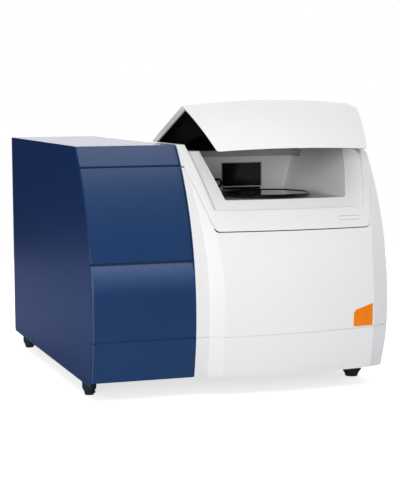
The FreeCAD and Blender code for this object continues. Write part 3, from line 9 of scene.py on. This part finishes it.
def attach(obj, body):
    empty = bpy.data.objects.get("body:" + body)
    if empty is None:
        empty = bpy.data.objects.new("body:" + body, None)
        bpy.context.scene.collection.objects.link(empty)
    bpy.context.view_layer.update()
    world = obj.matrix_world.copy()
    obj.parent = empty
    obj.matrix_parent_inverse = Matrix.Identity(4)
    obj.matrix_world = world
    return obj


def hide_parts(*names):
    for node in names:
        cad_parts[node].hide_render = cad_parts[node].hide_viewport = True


# Near-infrared analyzer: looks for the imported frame. Metres, +Z up, front towards -Y, blue bay at -X.
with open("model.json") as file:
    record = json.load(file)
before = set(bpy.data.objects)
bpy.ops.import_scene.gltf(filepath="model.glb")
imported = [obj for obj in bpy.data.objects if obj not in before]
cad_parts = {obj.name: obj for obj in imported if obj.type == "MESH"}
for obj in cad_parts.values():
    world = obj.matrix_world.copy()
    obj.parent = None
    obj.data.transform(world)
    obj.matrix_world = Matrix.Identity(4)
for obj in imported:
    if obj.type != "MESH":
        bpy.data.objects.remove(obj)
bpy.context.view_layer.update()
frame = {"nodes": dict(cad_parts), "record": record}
nodes = frame["nodes"]

MM = 0.001


# Camera of the photograph
CAMERA_PLACE = Vector((-594.2, -1852.34, 360.5)) * MM
CAMERA_YAW = math.radians(18.3)
CAMERA_PITCH = math.radians(6.04)
CAMERA_ROLL = math.radians(-0.36)
FOCAL_PIXELS = 1469.4
PICTURE_HEIGHT = 493
SENSOR = 36.0
CAMERA_REACH = 100


def add_camera():
    ahead = Vector((math.sin(CAMERA_YAW) * math.cos(CAMERA_PITCH),
                    math.cos(CAMERA_YAW) * math.cos(CAMERA_PITCH),
                    -math.sin(CAMERA_PITCH)))
    level = Vector((math.cos(CAMERA_YAW), -math.sin(CAMERA_YAW), 0))
    rise = level.cross(ahead)
    right = level * math.cos(CAMERA_ROLL) + rise * math.sin(CAMERA_ROLL)
    up = rise * math.cos(CAMERA_ROLL) - level * math.sin(CAMERA_ROLL)
    data = bpy.data.cameras.new("photo_camera")
    data.sensor_fit = "VERTICAL"
    data.sensor_height = SENSOR
    data.lens = FOCAL_PIXELS * SENSOR / PICTURE_HEIGHT
    data.clip_end = CAMERA_REACH
    camera = bpy.data.objects.new("photo_camera", data)
    turn = Matrix((right, up, -ahead)).transposed().to_4x4()
    camera.matrix_world = Matrix.Translation(CAMERA_PLACE) @ turn
    bpy.context.scene.collection.objects.link(camera)
    bpy.context.scene.camera = camera


# Stage: pale floor, white surroundings, soft lamps
FLOOR_SIZE = 2.6
FLOOR_COLOUR = (0.78, 0.78, 0.79, 1)
# Painted shade and blue tint on the floor, for mirror rays only: dark in front, bluer beside and behind the
# object
FLOOR_SHADED = (0.2, 0.2, 0.22, 1)
FLOOR_MIRRORED = (0.46, 0.58, 0.9, 1)
FLOOR_TURN = (-0.5, 0.0)
ROOM_MIRRORED = (0.96, 0.96, 1.0, 1)
# Glow that lifts the floor to white, for camera and glass rays only
FLOOR_LIFT = 0.7
ROOM_LIGHT = 0.45
# In mirror rays the room is darker towards the left and low in front, as beside studio flags
FLAG_SHARE = 0.02
FLAG_LEFT = (-0.12, 0.2)
FLAG_RISE = (0.42, 0.95)
FLAG_BACK = (-0.2, 0.1)


def node(tree, kind, **settings):
    made = tree.nodes.new(kind)
    for key, value in settings.items():
        setattr(made, key, value)
    return made


def join(tree, start, end):
    tree.links.new(start, end)


def larger(tree, first, second):
    both = node(tree, "ShaderNodeMath", operation="MAXIMUM")
    join(tree, first, both.inputs[0])
    join(tree, second, both.inputs[1])
    return both.outputs[0]


def times(tree, first, second):
    both = node(tree, "ShaderNodeMath", operation="MULTIPLY")
    join(tree, first, both.inputs[0])
    join(tree, second, both.inputs[1])
    return both.outputs[0]


def fall(tree, value, turn, low):
    # Smooth change from low to one between the two ends of turn
    eased = node(tree, "ShaderNodeMapRange", interpolation_type="SMOOTHSTEP")
    eased.inputs["From Min"].default_value, eased.inputs["From Max"].default_value = turn
    eased.inputs["To Min"].default_value = low
    join(tree, value, eased.inputs["Value"])
    return eased.outputs[0]


def add_floor():
    bpy.ops.mesh.primitive_plane_add(size=FLOOR_SIZE)
    floor = bpy.context.object
    floor.name = "floor"
    material = bpy.data.materials.new("floor_paper")
    material.use_nodes = True
    tree = material.node_tree
    tree.nodes.clear()
    out = node(tree, "ShaderNodeOutputMaterial")
    paper = node(tree, "ShaderNodeBsdfDiffuse")
    path = node(tree, "ShaderNodeLightPath")
    tone = node(tree, "ShaderNodeMixRGB")
    tone.inputs["Color1"].default_value = FLOOR_COLOUR
    mirrored = node(tree, "ShaderNodeMixRGB")
    mirrored.inputs["Color1"].default_value = FLOOR_SHADED
    mirrored.inputs["Color2"].default_value = FLOOR_MIRRORED
    spot = node(tree, "ShaderNodeSeparateXYZ")
    join(tree, node(tree, "ShaderNodeTexCoord").outputs["Object"], spot.inputs[0])
    join(tree, fall(tree, spot.outputs["Y"], FLOOR_TURN, 0), mirrored.inputs["Fac"])
    join(tree, mirrored.outputs[0], tone.inputs["Color2"])
    join(tree, path.outputs["Is Glossy Ray"], tone.inputs["Fac"])
    join(tree, tone.outputs[0], paper.inputs["Color"])
    glow = node(tree, "ShaderNodeEmission")
    scale = node(tree, "ShaderNodeMath", operation="MULTIPLY")
    scale.inputs[1].default_value = FLOOR_LIFT
    both = node(tree, "ShaderNodeAddShader")
    lifted_rays = larger(tree, path.outputs["Is Camera Ray"], path.outputs["Is Transmission Ray"])
    join(tree, lifted_rays, scale.inputs[0])
    join(tree, scale.outputs[0], glow.inputs["Strength"])
    join(tree, paper.outputs[0], both.inputs[0])
    join(tree, glow.outputs[0], both.inputs[1])
    join(tree, both.outputs[0], out.inputs["Surface"])
    floor.data.materials.append(material)


def flag_strength(tree, path):
    # White for the camera; for mirror and glass rays the flags take light off the left and the low front
    way = node(tree, "ShaderNodeSeparateXYZ")
    join(tree, node(tree, "ShaderNodeTexCoord").outputs["Generated"], way.inputs[0])
    left = fall(tree, way.outputs["X"], FLAG_LEFT, FLAG_SHARE)
    high = fall(tree, way.outputs["Z"], FLAG_RISE, FLAG_SHARE)
    behind = fall(tree, way.outputs["Y"], FLAG_BACK, 0)
    front = larger(tree, high, behind)
    return larger(tree, path.outputs["Is Camera Ray"], times(tree, left, front))


def add_world():
    world = bpy.data.worlds.new("room")
    bpy.context.scene.world = world
    world.use_nodes = True
    tree = world.node_tree
    tree.nodes.clear()
    out = node(tree, "ShaderNodeOutputWorld")
    room = node(tree, "ShaderNodeBackground")
    room.inputs["Color"].default_value = (1, 1, 1, 1)
    room.inputs["Strength"].default_value = ROOM_LIGHT
    path = node(tree, "ShaderNodeLightPath")
    seen = node(tree, "ShaderNodeBackground")
    tone = node(tree, "ShaderNodeMixRGB")
    tone.inputs["Color1"].default_value = (1, 1, 1, 1)
    tone.inputs["Color2"].default_value = ROOM_MIRRORED
    join(tree, path.outputs["Is Glossy Ray"], tone.inputs["Fac"])
    join(tree, tone.outputs[0], seen.inputs["Color"])
    join(tree, flag_strength(tree, path), seen.inputs["Strength"])
    pick = node(tree, "ShaderNodeMixShader")
    seen_rays = larger(tree, path.outputs["Is Camera Ray"], path.outputs["Is Glossy Ray"])
    join(tree, larger(tree, seen_rays, path.outputs["Is Transmission Ray"]), pick.inputs[0])
    join(tree, room.outputs[0], pick.inputs[1])
    join(tree, seen.outputs[0], pick.inputs[2])
    join(tree, pick.outputs[0], out.inputs["Surface"])


# Name, place, aim, size and power of each lamp
LAMPS = (
    ("key_lamp", (-1.85, -2.7, 0.62), (0, 0, 0.24), (2.0, 1.1), 59),
    ("top_lamp", (0.2, -0.6, 3.2), (0, 0, 0.1), (2.2, 2.0), 36),
    ("back_lamp", (1.1, 2.6, 1.5), (0, 0, 0.2), (1.6, 1.2), 26),
)


def add_lamp(name, place, aim, size, power):
    data = bpy.data.lights.new(name, "AREA")
    data.shape = "RECTANGLE"
    data.size, data.size_y = size
    data.energy = power
    lamp = bpy.data.objects.new(name, data)
    lamp.location = place
    lamp.rotation_euler = (Vector(aim) - Vector(place)).to_track_quat("-Z", "Y").to_euler()
    bpy.context.scene.collection.objects.link(lamp)


# Materials: where noise values lie, and how much each grain counts
NOISE_SPAN = (0.3, 0.7)
BROAD_SHARE = 0.55
FINE_SHARE = 0.45
ROUGH_GRAIN = 0.37
TOP_TURN = (0.8, 0.98)
# Grain that breaks up the painted sheen band
SHEEN_PAINT_GRAIN = 260.0
SHEEN_PAINT_BREAK = (0.7, 1.0)


def speckle(tree, coords, scale, detail, stretch=(1, 1, 1)):
    spread = node(tree, "ShaderNodeMapping")
    spread.inputs["Scale"].default_value = stretch
    grain = node(tree, "ShaderNodeTexNoise")
    grain.inputs["Scale"].default_value = scale
    grain.inputs["Detail"].default_value = detail
    join(tree, coords, spread.inputs["Vector"])
    join(tree, spread.outputs[0], grain.inputs["Vector"])
    return grain.outputs[0]


def remap(tree, value, low, high):
    turned = node(tree, "ShaderNodeMapRange")
    turned.inputs["From Min"].default_value, turned.inputs["From Max"].default_value = NOISE_SPAN
    turned.inputs["To Min"].default_value = low
    turned.inputs["To Max"].default_value = high
    join(tree, value, turned.inputs["Value"])
    return turned.outputs[0]


def surface(name, dark, light, rough, grain, relief, broad=9.0, metal=0.0, ior=1.46,
            stretch=(1, 1, 1), glass=0.0, top_rough=None, sheen_band=None):
    """One finish: colour from dark to light, roughness range, grain per metre and its relief in metres."""
    material = bpy.data.materials.new(name)
    material.use_nodes = True
    tree = material.node_tree
    tree.nodes.clear()
    out = node(tree, "ShaderNodeOutputMaterial")
    shader = node(tree, "ShaderNodeBsdfPrincipled")
    coords = node(tree, "ShaderNodeTexCoord").outputs["Object"]
    cloud = speckle(tree, coords, broad, 3.0)
    fine = speckle(tree, coords, grain, 2.0, stretch)
    blend = node(tree, "ShaderNodeMixRGB")
    blend.inputs["Color1"].default_value = (*dark, 1)
    blend.inputs["Color2"].default_value = (*light, 1)
    shade = node(tree, "ShaderNodeMath", operation="ADD")
    join(tree, remap(tree, cloud, 0.0, BROAD_SHARE), shade.inputs[0])
    join(tree, remap(tree, fine, 0.0, FINE_SHARE), shade.inputs[1])
    join(tree, shade.outputs[0], blend.inputs["Fac"])
    colour = blend.outputs[0]
    # Painted sheen: a paler band in the base colour in place of a highlight
    if sheen_band is not None:
        colour = paint_sheen_band(tree, coords, colour, *sheen_band)
    join(tree, colour, shader.inputs["Base Color"])
    mixed = speckle(tree, coords, grain * ROUGH_GRAIN, 3.0, stretch)
    spread = remap(tree, mixed, *rough)
    if top_rough is not None:
        spread = smoother_top(tree, spread, top_rough)
    join(tree, spread, shader.inputs["Roughness"])
    bump = node(tree, "ShaderNodeBump")
    bump.inputs["Strength"].default_value = 1.0
    bump.inputs["Distance"].default_value = relief
    join(tree, fine, bump.inputs["Height"])
    join(tree, bump.outputs[0], shader.inputs["Normal"])
    shader.inputs["Metallic"].default_value = metal
    shader.inputs["IOR"].default_value = ior
    shader.inputs["Transmission Weight"].default_value = glass
    join(tree, shader.outputs[0], out.inputs["Surface"])
    return material


def smoother_top(tree, rough, top_rough):
    # Faces that look up take top_rough, the others keep rough
    way = node(tree, "ShaderNodeSeparateXYZ")
    join(tree, node(tree, "ShaderNodeNewGeometry").outputs["True Normal"], way.inputs[0])
    pick = node(tree, "ShaderNodeMix", data_type="FLOAT")
    join(tree, fall(tree, way.outputs["Z"], TOP_TURN, 0), pick.inputs[0])
    join(tree, rough, pick.inputs[2])
    pick.inputs[3].default_value = top_rough
    return pick.outputs[0]


def paint_sheen_band(tree, coords, colour, heights, pale):
    # Painted sheen: paler towards the upper edge, broken up by grain, standing in for a highlight
    way = node(tree, "ShaderNodeSeparateXYZ")
    join(tree, coords, way.inputs[0])
    grain = remap(tree, speckle(tree, coords, SHEEN_PAINT_GRAIN, 4.0), *SHEEN_PAINT_BREAK)
    share = times(tree, fall(tree, way.outputs["Z"], heights, 0), grain)
    blend = node(tree, "ShaderNodeMixRGB")
    blend.inputs["Color2"].default_value = (*pale, 1)
    join(tree, share, blend.inputs["Fac"])
    join(tree, colour, blend.inputs["Color1"])
    return blend.outputs[0]


# Copper runs of the circuit board
RUN_CELLS = 90
RUN_EDGE = (0.02, 0.05)
RUN_SHARE = 0.6
RUN_COLOUR = (0.09, 0.35, 0.1, 1)


def board_finish():
    """Circuit board: green mask with copper runs from stretched cells."""
    material = surface("board_green", (0.012, 0.11, 0.035), (0.02, 0.16, 0.06), (0.3, 0.45), 900, 0.00002)
    tree = material.node_tree
    shader = next(n for n in tree.nodes if n.type == "BSDF_PRINCIPLED")
    coords = node(tree, "ShaderNodeTexCoord").outputs["Object"]
    cells = node(tree, "ShaderNodeTexVoronoi", distance="MANHATTAN", feature="DISTANCE_TO_EDGE")
    cells.inputs["Scale"].default_value = RUN_CELLS
    runs = node(tree, "ShaderNodeMapRange")
    runs.inputs["From Min"].default_value, runs.inputs["From Max"].default_value = RUN_EDGE
    runs.inputs["To Min"].default_value = RUN_SHARE
    runs.inputs["To Max"].default_value = 0.0
    blend = node(tree, "ShaderNodeMixRGB")
    blend.inputs["Color2"].default_value = RUN_COLOUR
    old = shader.inputs["Base Color"].links[0].from_socket
    join(tree, coords, cells.inputs["Vector"])
    join(tree, cells.outputs["Distance"], runs.inputs["Value"])
    join(tree, runs.outputs[0], blend.inputs["Fac"])
    join(tree, old, blend.inputs["Color1"])
    join(tree, blend.outputs[0], shader.inputs["Base Color"])
    return material


def make_finishes():
    made = {}

    def keep(name, *args, **settings):
        made[name] = surface(name, *args, **settings)

    keep("blue_paint", (0.0105, 0.038, 0.116), (0.0125, 0.043, 0.128), (0.26, 0.36), 1300, 0.00004,
         broad=14, ior=1.34)
    # Lower front panel: a little darker blue than the other front panels, with a painted sheen paler towards
    # its upper edge
    keep("blue_lower_paint_painted_sheen", (0.0095, 0.036, 0.114), (0.0115, 0.041, 0.126), (0.26, 0.36), 1300, 0.00004,
         broad=14, ior=1.34, sheen_band=((0.122, 0.17), (0.075, 0.12, 0.25)))
    # Painted shade: the side's blue is darker than the front's, keeping the side dark under the key lamp
    keep("blue_side_paint", (0.0062, 0.024, 0.098), (0.0068, 0.026, 0.104), (0.32, 0.4), 1300, 0.000012,
         broad=6, ior=1.16, top_rough=0.1)
    keep("dark_steel", (0.02, 0.02, 0.024), (0.035, 0.035, 0.04), (0.5, 0.65), 900, 0.00004)
    keep("white_housing", (0.76, 0.76, 0.77), (0.80, 0.80, 0.808), (0.42, 0.55), 2600, 0.000025, broad=5)
    keep("white_key", (0.78, 0.78, 0.80), (0.82, 0.82, 0.84), (0.3, 0.4), 2600, 0.00002)
    keep("grey_lining", (0.79, 0.79, 0.81), (0.83, 0.83, 0.85), (0.35, 0.5), 2000, 0.00003, broad=7)
    keep("pale_trim", (0.5, 0.5, 0.51), (0.6, 0.6, 0.61), (0.35, 0.45), 2000, 0.00002)
    keep("black_gloss", (0.004, 0.004, 0.004), (0.006, 0.006, 0.006), (0.05, 0.09), 300, 0.000002, ior=1.5)
    keep("pane_gloss", (0.005, 0.005, 0.005), (0.007, 0.007, 0.007), (0.06, 0.14), 300, 0.000004, ior=1.3)
    keep("black_matte", (0.002, 0.002, 0.002), (0.004, 0.004, 0.0045), (0.6, 0.75), 1800, 0.00003, ior=1.2)
    keep("bright_metal", (0.7, 0.7, 0.72), (0.82, 0.82, 0.84), (0.14, 0.26), 900, 0.00001, metal=1.0)
    keep("steel", (0.5, 0.5, 0.51), (0.62, 0.62, 0.63), (0.28, 0.42), 500, 0.00001,
         metal=1.0, stretch=(1, 18, 18))
    keep("black_rubber", (0.012, 0.012, 0.012), (0.026, 0.026, 0.027), (0.62, 0.8), 1100, 0.0001)
    keep("black_steel", (0.01, 0.01, 0.011), (0.02, 0.02, 0.022), (0.42, 0.55), 1200, 0.00004)
    keep("dark_glass", (0.006, 0.006, 0.007), (0.009, 0.009, 0.01), (0.015, 0.03), 120, 0.000001, ior=1.6)
    keep("alloy", (0.62, 0.63, 0.65), (0.74, 0.75, 0.77), (0.3, 0.45), 420, 0.00001,
         metal=1.0, stretch=(14, 1, 1))
    keep("motor_black", (0.02, 0.02, 0.02), (0.035, 0.035, 0.035), (0.38, 0.5), 1000, 0.00003)
    keep("rear_paint", (0.33, 0.34, 0.36), (0.4, 0.41, 0.43), (0.45, 0.6), 1500, 0.00007)
    keep("black_cast", (0.018, 0.018, 0.019), (0.034, 0.034, 0.036), (0.5, 0.64), 700, 0.00009)
    keep("mirror", (0.86, 0.86, 0.88), (0.92, 0.92, 0.94), (0.02, 0.05), 80, 0.000001, metal=1.0)
    keep("clear_glass", (0.82, 0.88, 0.88), (0.9, 0.94, 0.94), (0.02, 0.05), 120, 0.000002, glass=0.9)
    keep("orange_film", (0.82, 0.20, 0.002), (0.9, 0.235, 0.004), (0.34, 0.46), 1500, 0.00001,
         broad=30, ior=1.3)
    keep("contact_gold", (0.7, 0.5, 0.18), (0.85, 0.62, 0.25), (0.2, 0.35), 900, 0.00001, metal=1.0)
    made["board_green"] = board_finish()
    return made


# Finishes that differ from the slot: the rail is a grey band in the mouth; the knob's centre is pale matte
# instead of steel, a painted reflection
OTHER_FINISH = {
    "hinge_rail": "rear_paint",
    # Painted reflection: pale matte screw in place of the steel's bright reflection
    "knob_screw": "pale_trim",
    "window_pane": "pane_gloss",
    "data_ports": "steel",
    # The lower blue panel takes the copy with the painted sheen
    "blue_lower_front_panel": "blue_lower_paint_painted_sheen",
}


def dress_cad(finishes):
    for part in frame["record"]["subparts"]:
        mesh = nodes[part["node"]].data
        finish = OTHER_FINISH.get(part["node"], part["material_slot"])
        mesh.materials.clear()
        mesh.materials.append(finishes[finish])


# Helpers for pieces; rays start in front of everything
SHARP_ANGLE = math.radians(38)
RAY_START = -1


def mesh_piece(name, work, material, body, smooth=True):
    data = bpy.data.meshes.new(name)
    bmesh.ops.recalc_face_normals(work, faces=work.faces)
    work.to_mesh(data)
    work.free()
    data.materials.append(material)
    if smooth:
        data.polygons.foreach_set("use_smooth", [True] * len(data.polygons))
        data.set_sharp_from_angle(angle=SHARP_ANGLE)
    piece = bpy.data.objects.new(name, data)
    bpy.context.scene.collection.objects.link(piece)
    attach(piece, body)
    return piece


def surface_tree(*names):
    points = []
    faces = []
    for name in names:
        mesh = nodes[name].data
        mesh.calc_loop_triangles()
        start = len(points)
        points += [v.co.copy() for v in mesh.vertices]
        faces += [tuple(start + i for i in t.vertices) for t in mesh.loop_triangles]
    return BVHTree.FromPolygons(points, faces)


def front_hit(tree, x, z):
    # Depth in millimetres of what is seen from the front at x, z
    hit = tree.ray_cast(Vector((x * MM, RAY_START, z * MM)), Vector((0, 1, 0)))[0]
    return None if hit is None else hit.y / MM


def strip_of_rings(work, rings, closed=False):
    # Skin over equal rings of points; open strips get end caps
    made = [[work.verts.new(Vector(p) * MM) for p in ring] for ring in rings]
    pairs = list(zip(made, made[1:]))
    if closed:
        pairs.append((made[-1], made[0]))
    for here, there in pairs:
        for k in range(len(here)):
            work.faces.new((here[k - 1], here[k], there[k], there[k - 1]))
    if not closed:
        work.faces.new(made[0])
        work.faces.new(made[-1][::-1])


def turned(work, profile, centre, segments):
    # Body of revolution about Z from a profile of radius, height
    made = []
    for i in range(segments):
        turn = 2 * math.pi * i / segments
        spot = [(centre[0] + r * math.cos(turn), centre[1] + r * math.sin(turn), z) for r, z in profile]
        made.append([work.verts.new(Vector(p) * MM) for p in spot])
    for i in range(segments):
        for k in range(len(profile) - 1):
            work.faces.new((made[i - 1][k], made[i][k], made[i][k + 1], made[i - 1][k + 1]))
    work.faces.new([m[0] for m in made])
    work.faces.new([m[-1] for m in made][::-1])


# Linings that close the narrow gaps of the casing just below the surface. Each has its name, slot, start and
# end as x, z from the front, width, depth, the side of the gap that it follows, and its thickness
LINING_STEP = 4.0
LINING_BACK = 0.5
DEEP_BACK = 4.5
LINING_REACH = 0.5
BLUE_LEFT = -184.6
BLUE_RIGHT = -62.0
WHITE_RIGHT = 184.2
BASE_LEFT = 71.0
BASE_RIGHT = 74.6
LININGS = (
    ("white_base_lining", "white_housing", (-61.0, BASE_LEFT), (WHITE_RIGHT, BASE_RIGHT), 1.3, 1.1,
     max, LINING_BACK),
    ("blue_base_lining", "blue_paint", (BLUE_LEFT, BASE_LEFT), (BLUE_RIGHT, BASE_LEFT), 1.3, 1.1,
     max, LINING_BACK),
    ("waist_lining", "blue_paint", (BLUE_LEFT, 161.2), (BLUE_RIGHT, 161.2), 3.2, 2.4, max, LINING_BACK),
    ("belt_lining", "blue_paint", (BLUE_LEFT, 271.0), (BLUE_RIGHT, 271.0), 1.4, 1.2, max, LINING_BACK),
    ("bay_lining", "blue_paint", (BLUE_RIGHT, 23.0), (BLUE_RIGHT, 294.0), 1.4, 0.5, min, DEEP_BACK),
    ("shut_lining_left", "white_housing", (-57.7, 269.0), (-35.2, 198.4), 1.6, 1.0, max, LINING_BACK),
    ("shut_lining_right", "white_housing", (164.6, 199.6), (185.0, 266.0), 1.4, 0.6, max, LINING_BACK),
)
CASING = ("blue_brow_fascia", "blue_upper_front_panel", "blue_lower_front_panel", "blue_base_skirt",
          "white_front_cover", "white_base_skirt", "compartment_bezel")


def add_lining(tree, finishes, name, slot, start, end, width, depth, choose, back):
    length = math.dist(start, end)
    along = ((end[0] - start[0]) / length, (end[1] - start[1]) / length)
    across = (-along[1], along[0])
    reach = width / 2 + LINING_REACH
    steps = round(length / LINING_STEP)
    rings = []
    for i in range(steps + 1):
        x = start[0] + (end[0] - start[0]) * i / steps
        z = start[1] + (end[1] - start[1]) * i / steps
        depths = [front_hit(tree, x + s * reach * across[0], z + s * reach * across[1]) for s in (-1, 1)]
        depths = [d for d in depths if d is not None]
        if not depths:
            continue
        y = choose(depths) + depth
        sides = [(x + s * width / 2 * across[0], z + s * width / 2 * across[1]) for s in (-1, 1)]
        ring = [(sides[0][0], y, sides[0][1]), (sides[1][0], y, sides[1][1])]
        ring += [(sides[1][0], y + back, sides[1][1]), (sides[0][0], y + back, sides[0][1])]
        rings.append(ring)
    work = bmesh.new()
    strip_of_rings(work, rings)
    mesh_piece(name, work, finishes[slot], "housing")


# Feet with a flared collar, slimmer under the blue bay: x, y and share of the full width
FOOT_PROFILE = ((0.2, 0), (7.4, 0), (8.0, 0.6), (8.2, 2.0), (8.9, 3.8), (10.0, 5.6), (11.3, 7.2), (12.3, 8.6),
                (12.3, 16.0), (0.2, 16.0))
FOOT_PLACES = ((-177.2, -165.9, 0.7), (-177.2, 183.1, 0.7), (165.0, -165.9, 1.0), (165.0, 183.1, 1.0))
FOOT_SEGMENTS = 40


def add_feet(finishes):
    work = bmesh.new()
    for x, y, share in FOOT_PLACES:
        turned(work, [(r * share, z) for r, z in FOOT_PROFILE], (x, y), FOOT_SEGMENTS)
    feet = mesh_piece("feet", work, finishes["black_rubber"], "housing")
    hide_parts("rubber_feet")


# Polished bead round the turntable
TABLE_PLACE = (64.0, -125.1)
BEAD_ROUND = 54.9
BEAD_RADIUS = 1.6
BEAD_HEIGHT = 232.5
BEAD_STEPS = 96
BEAD_SIDES = 10


def add_bead(finishes):
    rings = []
    for i in range(BEAD_STEPS):
        turn = 2 * math.pi * i / BEAD_STEPS
        ring = []
        for k in range(BEAD_SIDES):
            bend = 2 * math.pi * k / BEAD_SIDES
            r = BEAD_ROUND + BEAD_RADIUS * math.cos(bend)
            z = BEAD_HEIGHT + BEAD_RADIUS * math.sin(bend)
            ring.append((TABLE_PLACE[0] + r * math.cos(turn), TABLE_PLACE[1] + r * math.sin(turn), z))
        rings.append(ring)
    work = bmesh.new()
    strip_of_rings(work, rings, closed=True)
    mesh_piece("turntable_bead", work, finishes["black_gloss"], "turntable")


def slab(work, low, high):
    left, near, foot = low
    right, far, top = high
    outline = ((left, foot), (right, foot), (right, top), (left, top))
    strip_of_rings(work, [[(x, y, z) for x, z in outline] for y in (near, far)])


# Painted shade: a dark glossy strip below the window's pale bar, put on the rear wall where only shade lies
SHADE_STRIP_LOW = (51.4, 1.4, 229.1)
SHADE_STRIP_HIGH = (105.2, 2.3, 232.1)
SHADE_STRIP_EDGE = 0.1


def add_window_painted_shade(finishes):
    work = bmesh.new()
    slab(work, SHADE_STRIP_LOW, SHADE_STRIP_HIGH)
    bmesh.ops.bevel(work, geom=work.edges[:], offset=SHADE_STRIP_EDGE * MM, segments=1, affect="EDGES")
    mesh_piece("window_painted_shade", work, finishes["pane_gloss"], "housing")


# Inside of the three data sockets: dark floors and tongues, gilt contacts
SOCKET_FLOOR = (231.2, 232.0)
SOCKETS = ((-5.7, 7.7, 64.5, 75.5), (14.9, 27.1, 67.6, 72.4), (32.7, 43.3, 65.1, 74.9))
TONGUES = ((-4.0, 6.0, 72.6, 74.4), (16.4, 25.6, 69.3, 70.7), (35.4, 40.6, 68.4, 71.8))
TONGUE_END = 239.0
CONTACT_END = 238.4
CONTACT_WIDTH = 0.6
CONTACT_LIFT = 0.15
CONTACT_COUNTS = (8, 4, 2)


def add_socket_insides(finishes):
    dark = bmesh.new()
    gilt = bmesh.new()
    for left, right, foot, top in SOCKETS:
        slab(dark, (left, SOCKET_FLOOR[0], foot), (right, SOCKET_FLOOR[1], top))
    for (left, right, foot, top), count in zip(TONGUES, CONTACT_COUNTS):
        slab(dark, (left, SOCKET_FLOOR[1], foot), (right, TONGUE_END, top))
        pitch = (right - left) / count
        for i in range(count):
            x = left + (i + 0.5) * pitch
            slab(gilt, (x - CONTACT_WIDTH / 2, SOCKET_FLOOR[1], foot - CONTACT_LIFT),
                 (x + CONTACT_WIDTH / 2, CONTACT_END, foot + CONTACT_LIFT))
    mesh_piece("socket_insides", dark, finishes["black_matte"], "housing", smooth=False)
    mesh_piece("socket_contacts", gilt, finishes["contact_gold"], "housing", smooth=False)


# Bare rating plate on the rear, with rivets
RATING_LOW = (96.0, 240.9, 62.0)
RATING_HIGH = (152.0, 241.6, 94.0)
RATING_ROUND = 2.5
RATING_STEPS = 6
RATING_EDGE = 0.3
RIVET_INSET = 3.5
RIVET_PROFILE = ((1.5, 0.0), (1.45, 0.3), (1.1, 0.6), (0.2, 0.75))
RIVET_SEGMENTS = 20


def add_rating_plate(finishes):
    work = bmesh.new()
    slab(work, RATING_LOW, RATING_HIGH)
    upright = [e for e in work.edges if abs(e.verts[0].co.y - e.verts[1].co.y) > RATING_EDGE * MM]
    bmesh.ops.bevel(work, geom=upright, offset=RATING_ROUND * MM, segments=RATING_STEPS, affect="EDGES")
    mesh_piece("rating_plate", work, finishes["alloy"], "housing")
    rivets = bmesh.new()
    for x in (RATING_LOW[0] + RIVET_INSET, RATING_HIGH[0] - RIVET_INSET):
        for z in (RATING_LOW[2] + RIVET_INSET, RATING_HIGH[2] - RIVET_INSET):
            before = len(rivets.verts)
            turned(rivets, RIVET_PROFILE, (0, 0), RIVET_SEGMENTS)
            rivets.verts.ensure_lookup_table()
            for v in rivets.verts[before:]:
                v.co = Vector((v.co.x + x * MM, v.co.z + RATING_HIGH[1] * MM, v.co.y + z * MM))
    mesh_piece("rating_rivets", rivets, finishes["steel"], "housing")


# Small orange plate on the white front, bare
PLATE_RIGHT = 160.2
PLATE_WIDTH = 26.5
PLATE_FOOT = 76.0
PLATE_HIGH = 27.0
PLATE_LOW = 19.5
PLATE_ROUND = 4.5
PLATE_THICKNESS = 0.35
PLATE_SUNK = 0.05
PLATE_STEPS = 14
PLATE_EASING = 1.5


def plate_top(share):
    # Slanted upper side with a rounded corner on the left
    line = PLATE_LOW + (PLATE_HIGH - PLATE_LOW) * share
    left = share * PLATE_WIDTH
    if left >= PLATE_ROUND:
        return line
    return line - PLATE_ROUND + math.sqrt(PLATE_ROUND ** 2 - (PLATE_ROUND - left) ** 2)


def add_orange_plate(finishes):
    front = surface_tree("white_front_cover")
    work = bmesh.new()
    rows = []
    for layer in (PLATE_SUNK, -PLATE_THICKNESS):
        grid = []
        for i in range(PLATE_STEPS + 1):
            share = (i / PLATE_STEPS) ** PLATE_EASING
            x = (PLATE_RIGHT - PLATE_WIDTH * (1 - share)) * MM
            column = []
            for k in range(PLATE_STEPS + 1):
                z = (PLATE_FOOT + plate_top(share) * k / PLATE_STEPS) * MM
                hit = front.ray_cast(Vector((x, RAY_START, z)), Vector((0, 1, 0)))[0]
                column.append(work.verts.new((x, hit.y + layer * MM, z)))
            grid.append(column)
        rows.append(grid)
    for grid in rows:
        for i in range(PLATE_STEPS):
            for k in range(PLATE_STEPS):
                work.faces.new((grid[i][k], grid[i + 1][k], grid[i + 1][k + 1], grid[i][k + 1]))
    back, face = rows
    rims = (
        ([g[0] for g in back], [g[0] for g in face]),
        ([g[-1] for g in back], [g[-1] for g in face]),
        (back[0], face[0]),
        (back[-1], face[-1]),
    )
    for inner, outer in rims:
        for k in range(PLATE_STEPS):
            work.faces.new((inner[k], inner[k + 1], outer[k + 1], outer[k]))
    mesh_piece("orange_plate", work, finishes["orange_film"], "housing")


add_camera()
add_floor()
add_world()
for lamp in LAMPS:
    add_lamp(*lamp)
bpy.context.scene.view_settings.view_transform = "Standard"

finishes = make_finishes()
dress_cad(finishes)
casing = surface_tree(*CASING)
for lining in LININGS:
    add_lining(casing, finishes, *lining)
add_feet(finishes)
add_bead(finishes)
add_window_painted_shade(finishes)
add_rating_plate(finishes)
add_socket_insides(finishes)
add_orange_plate(finishes)
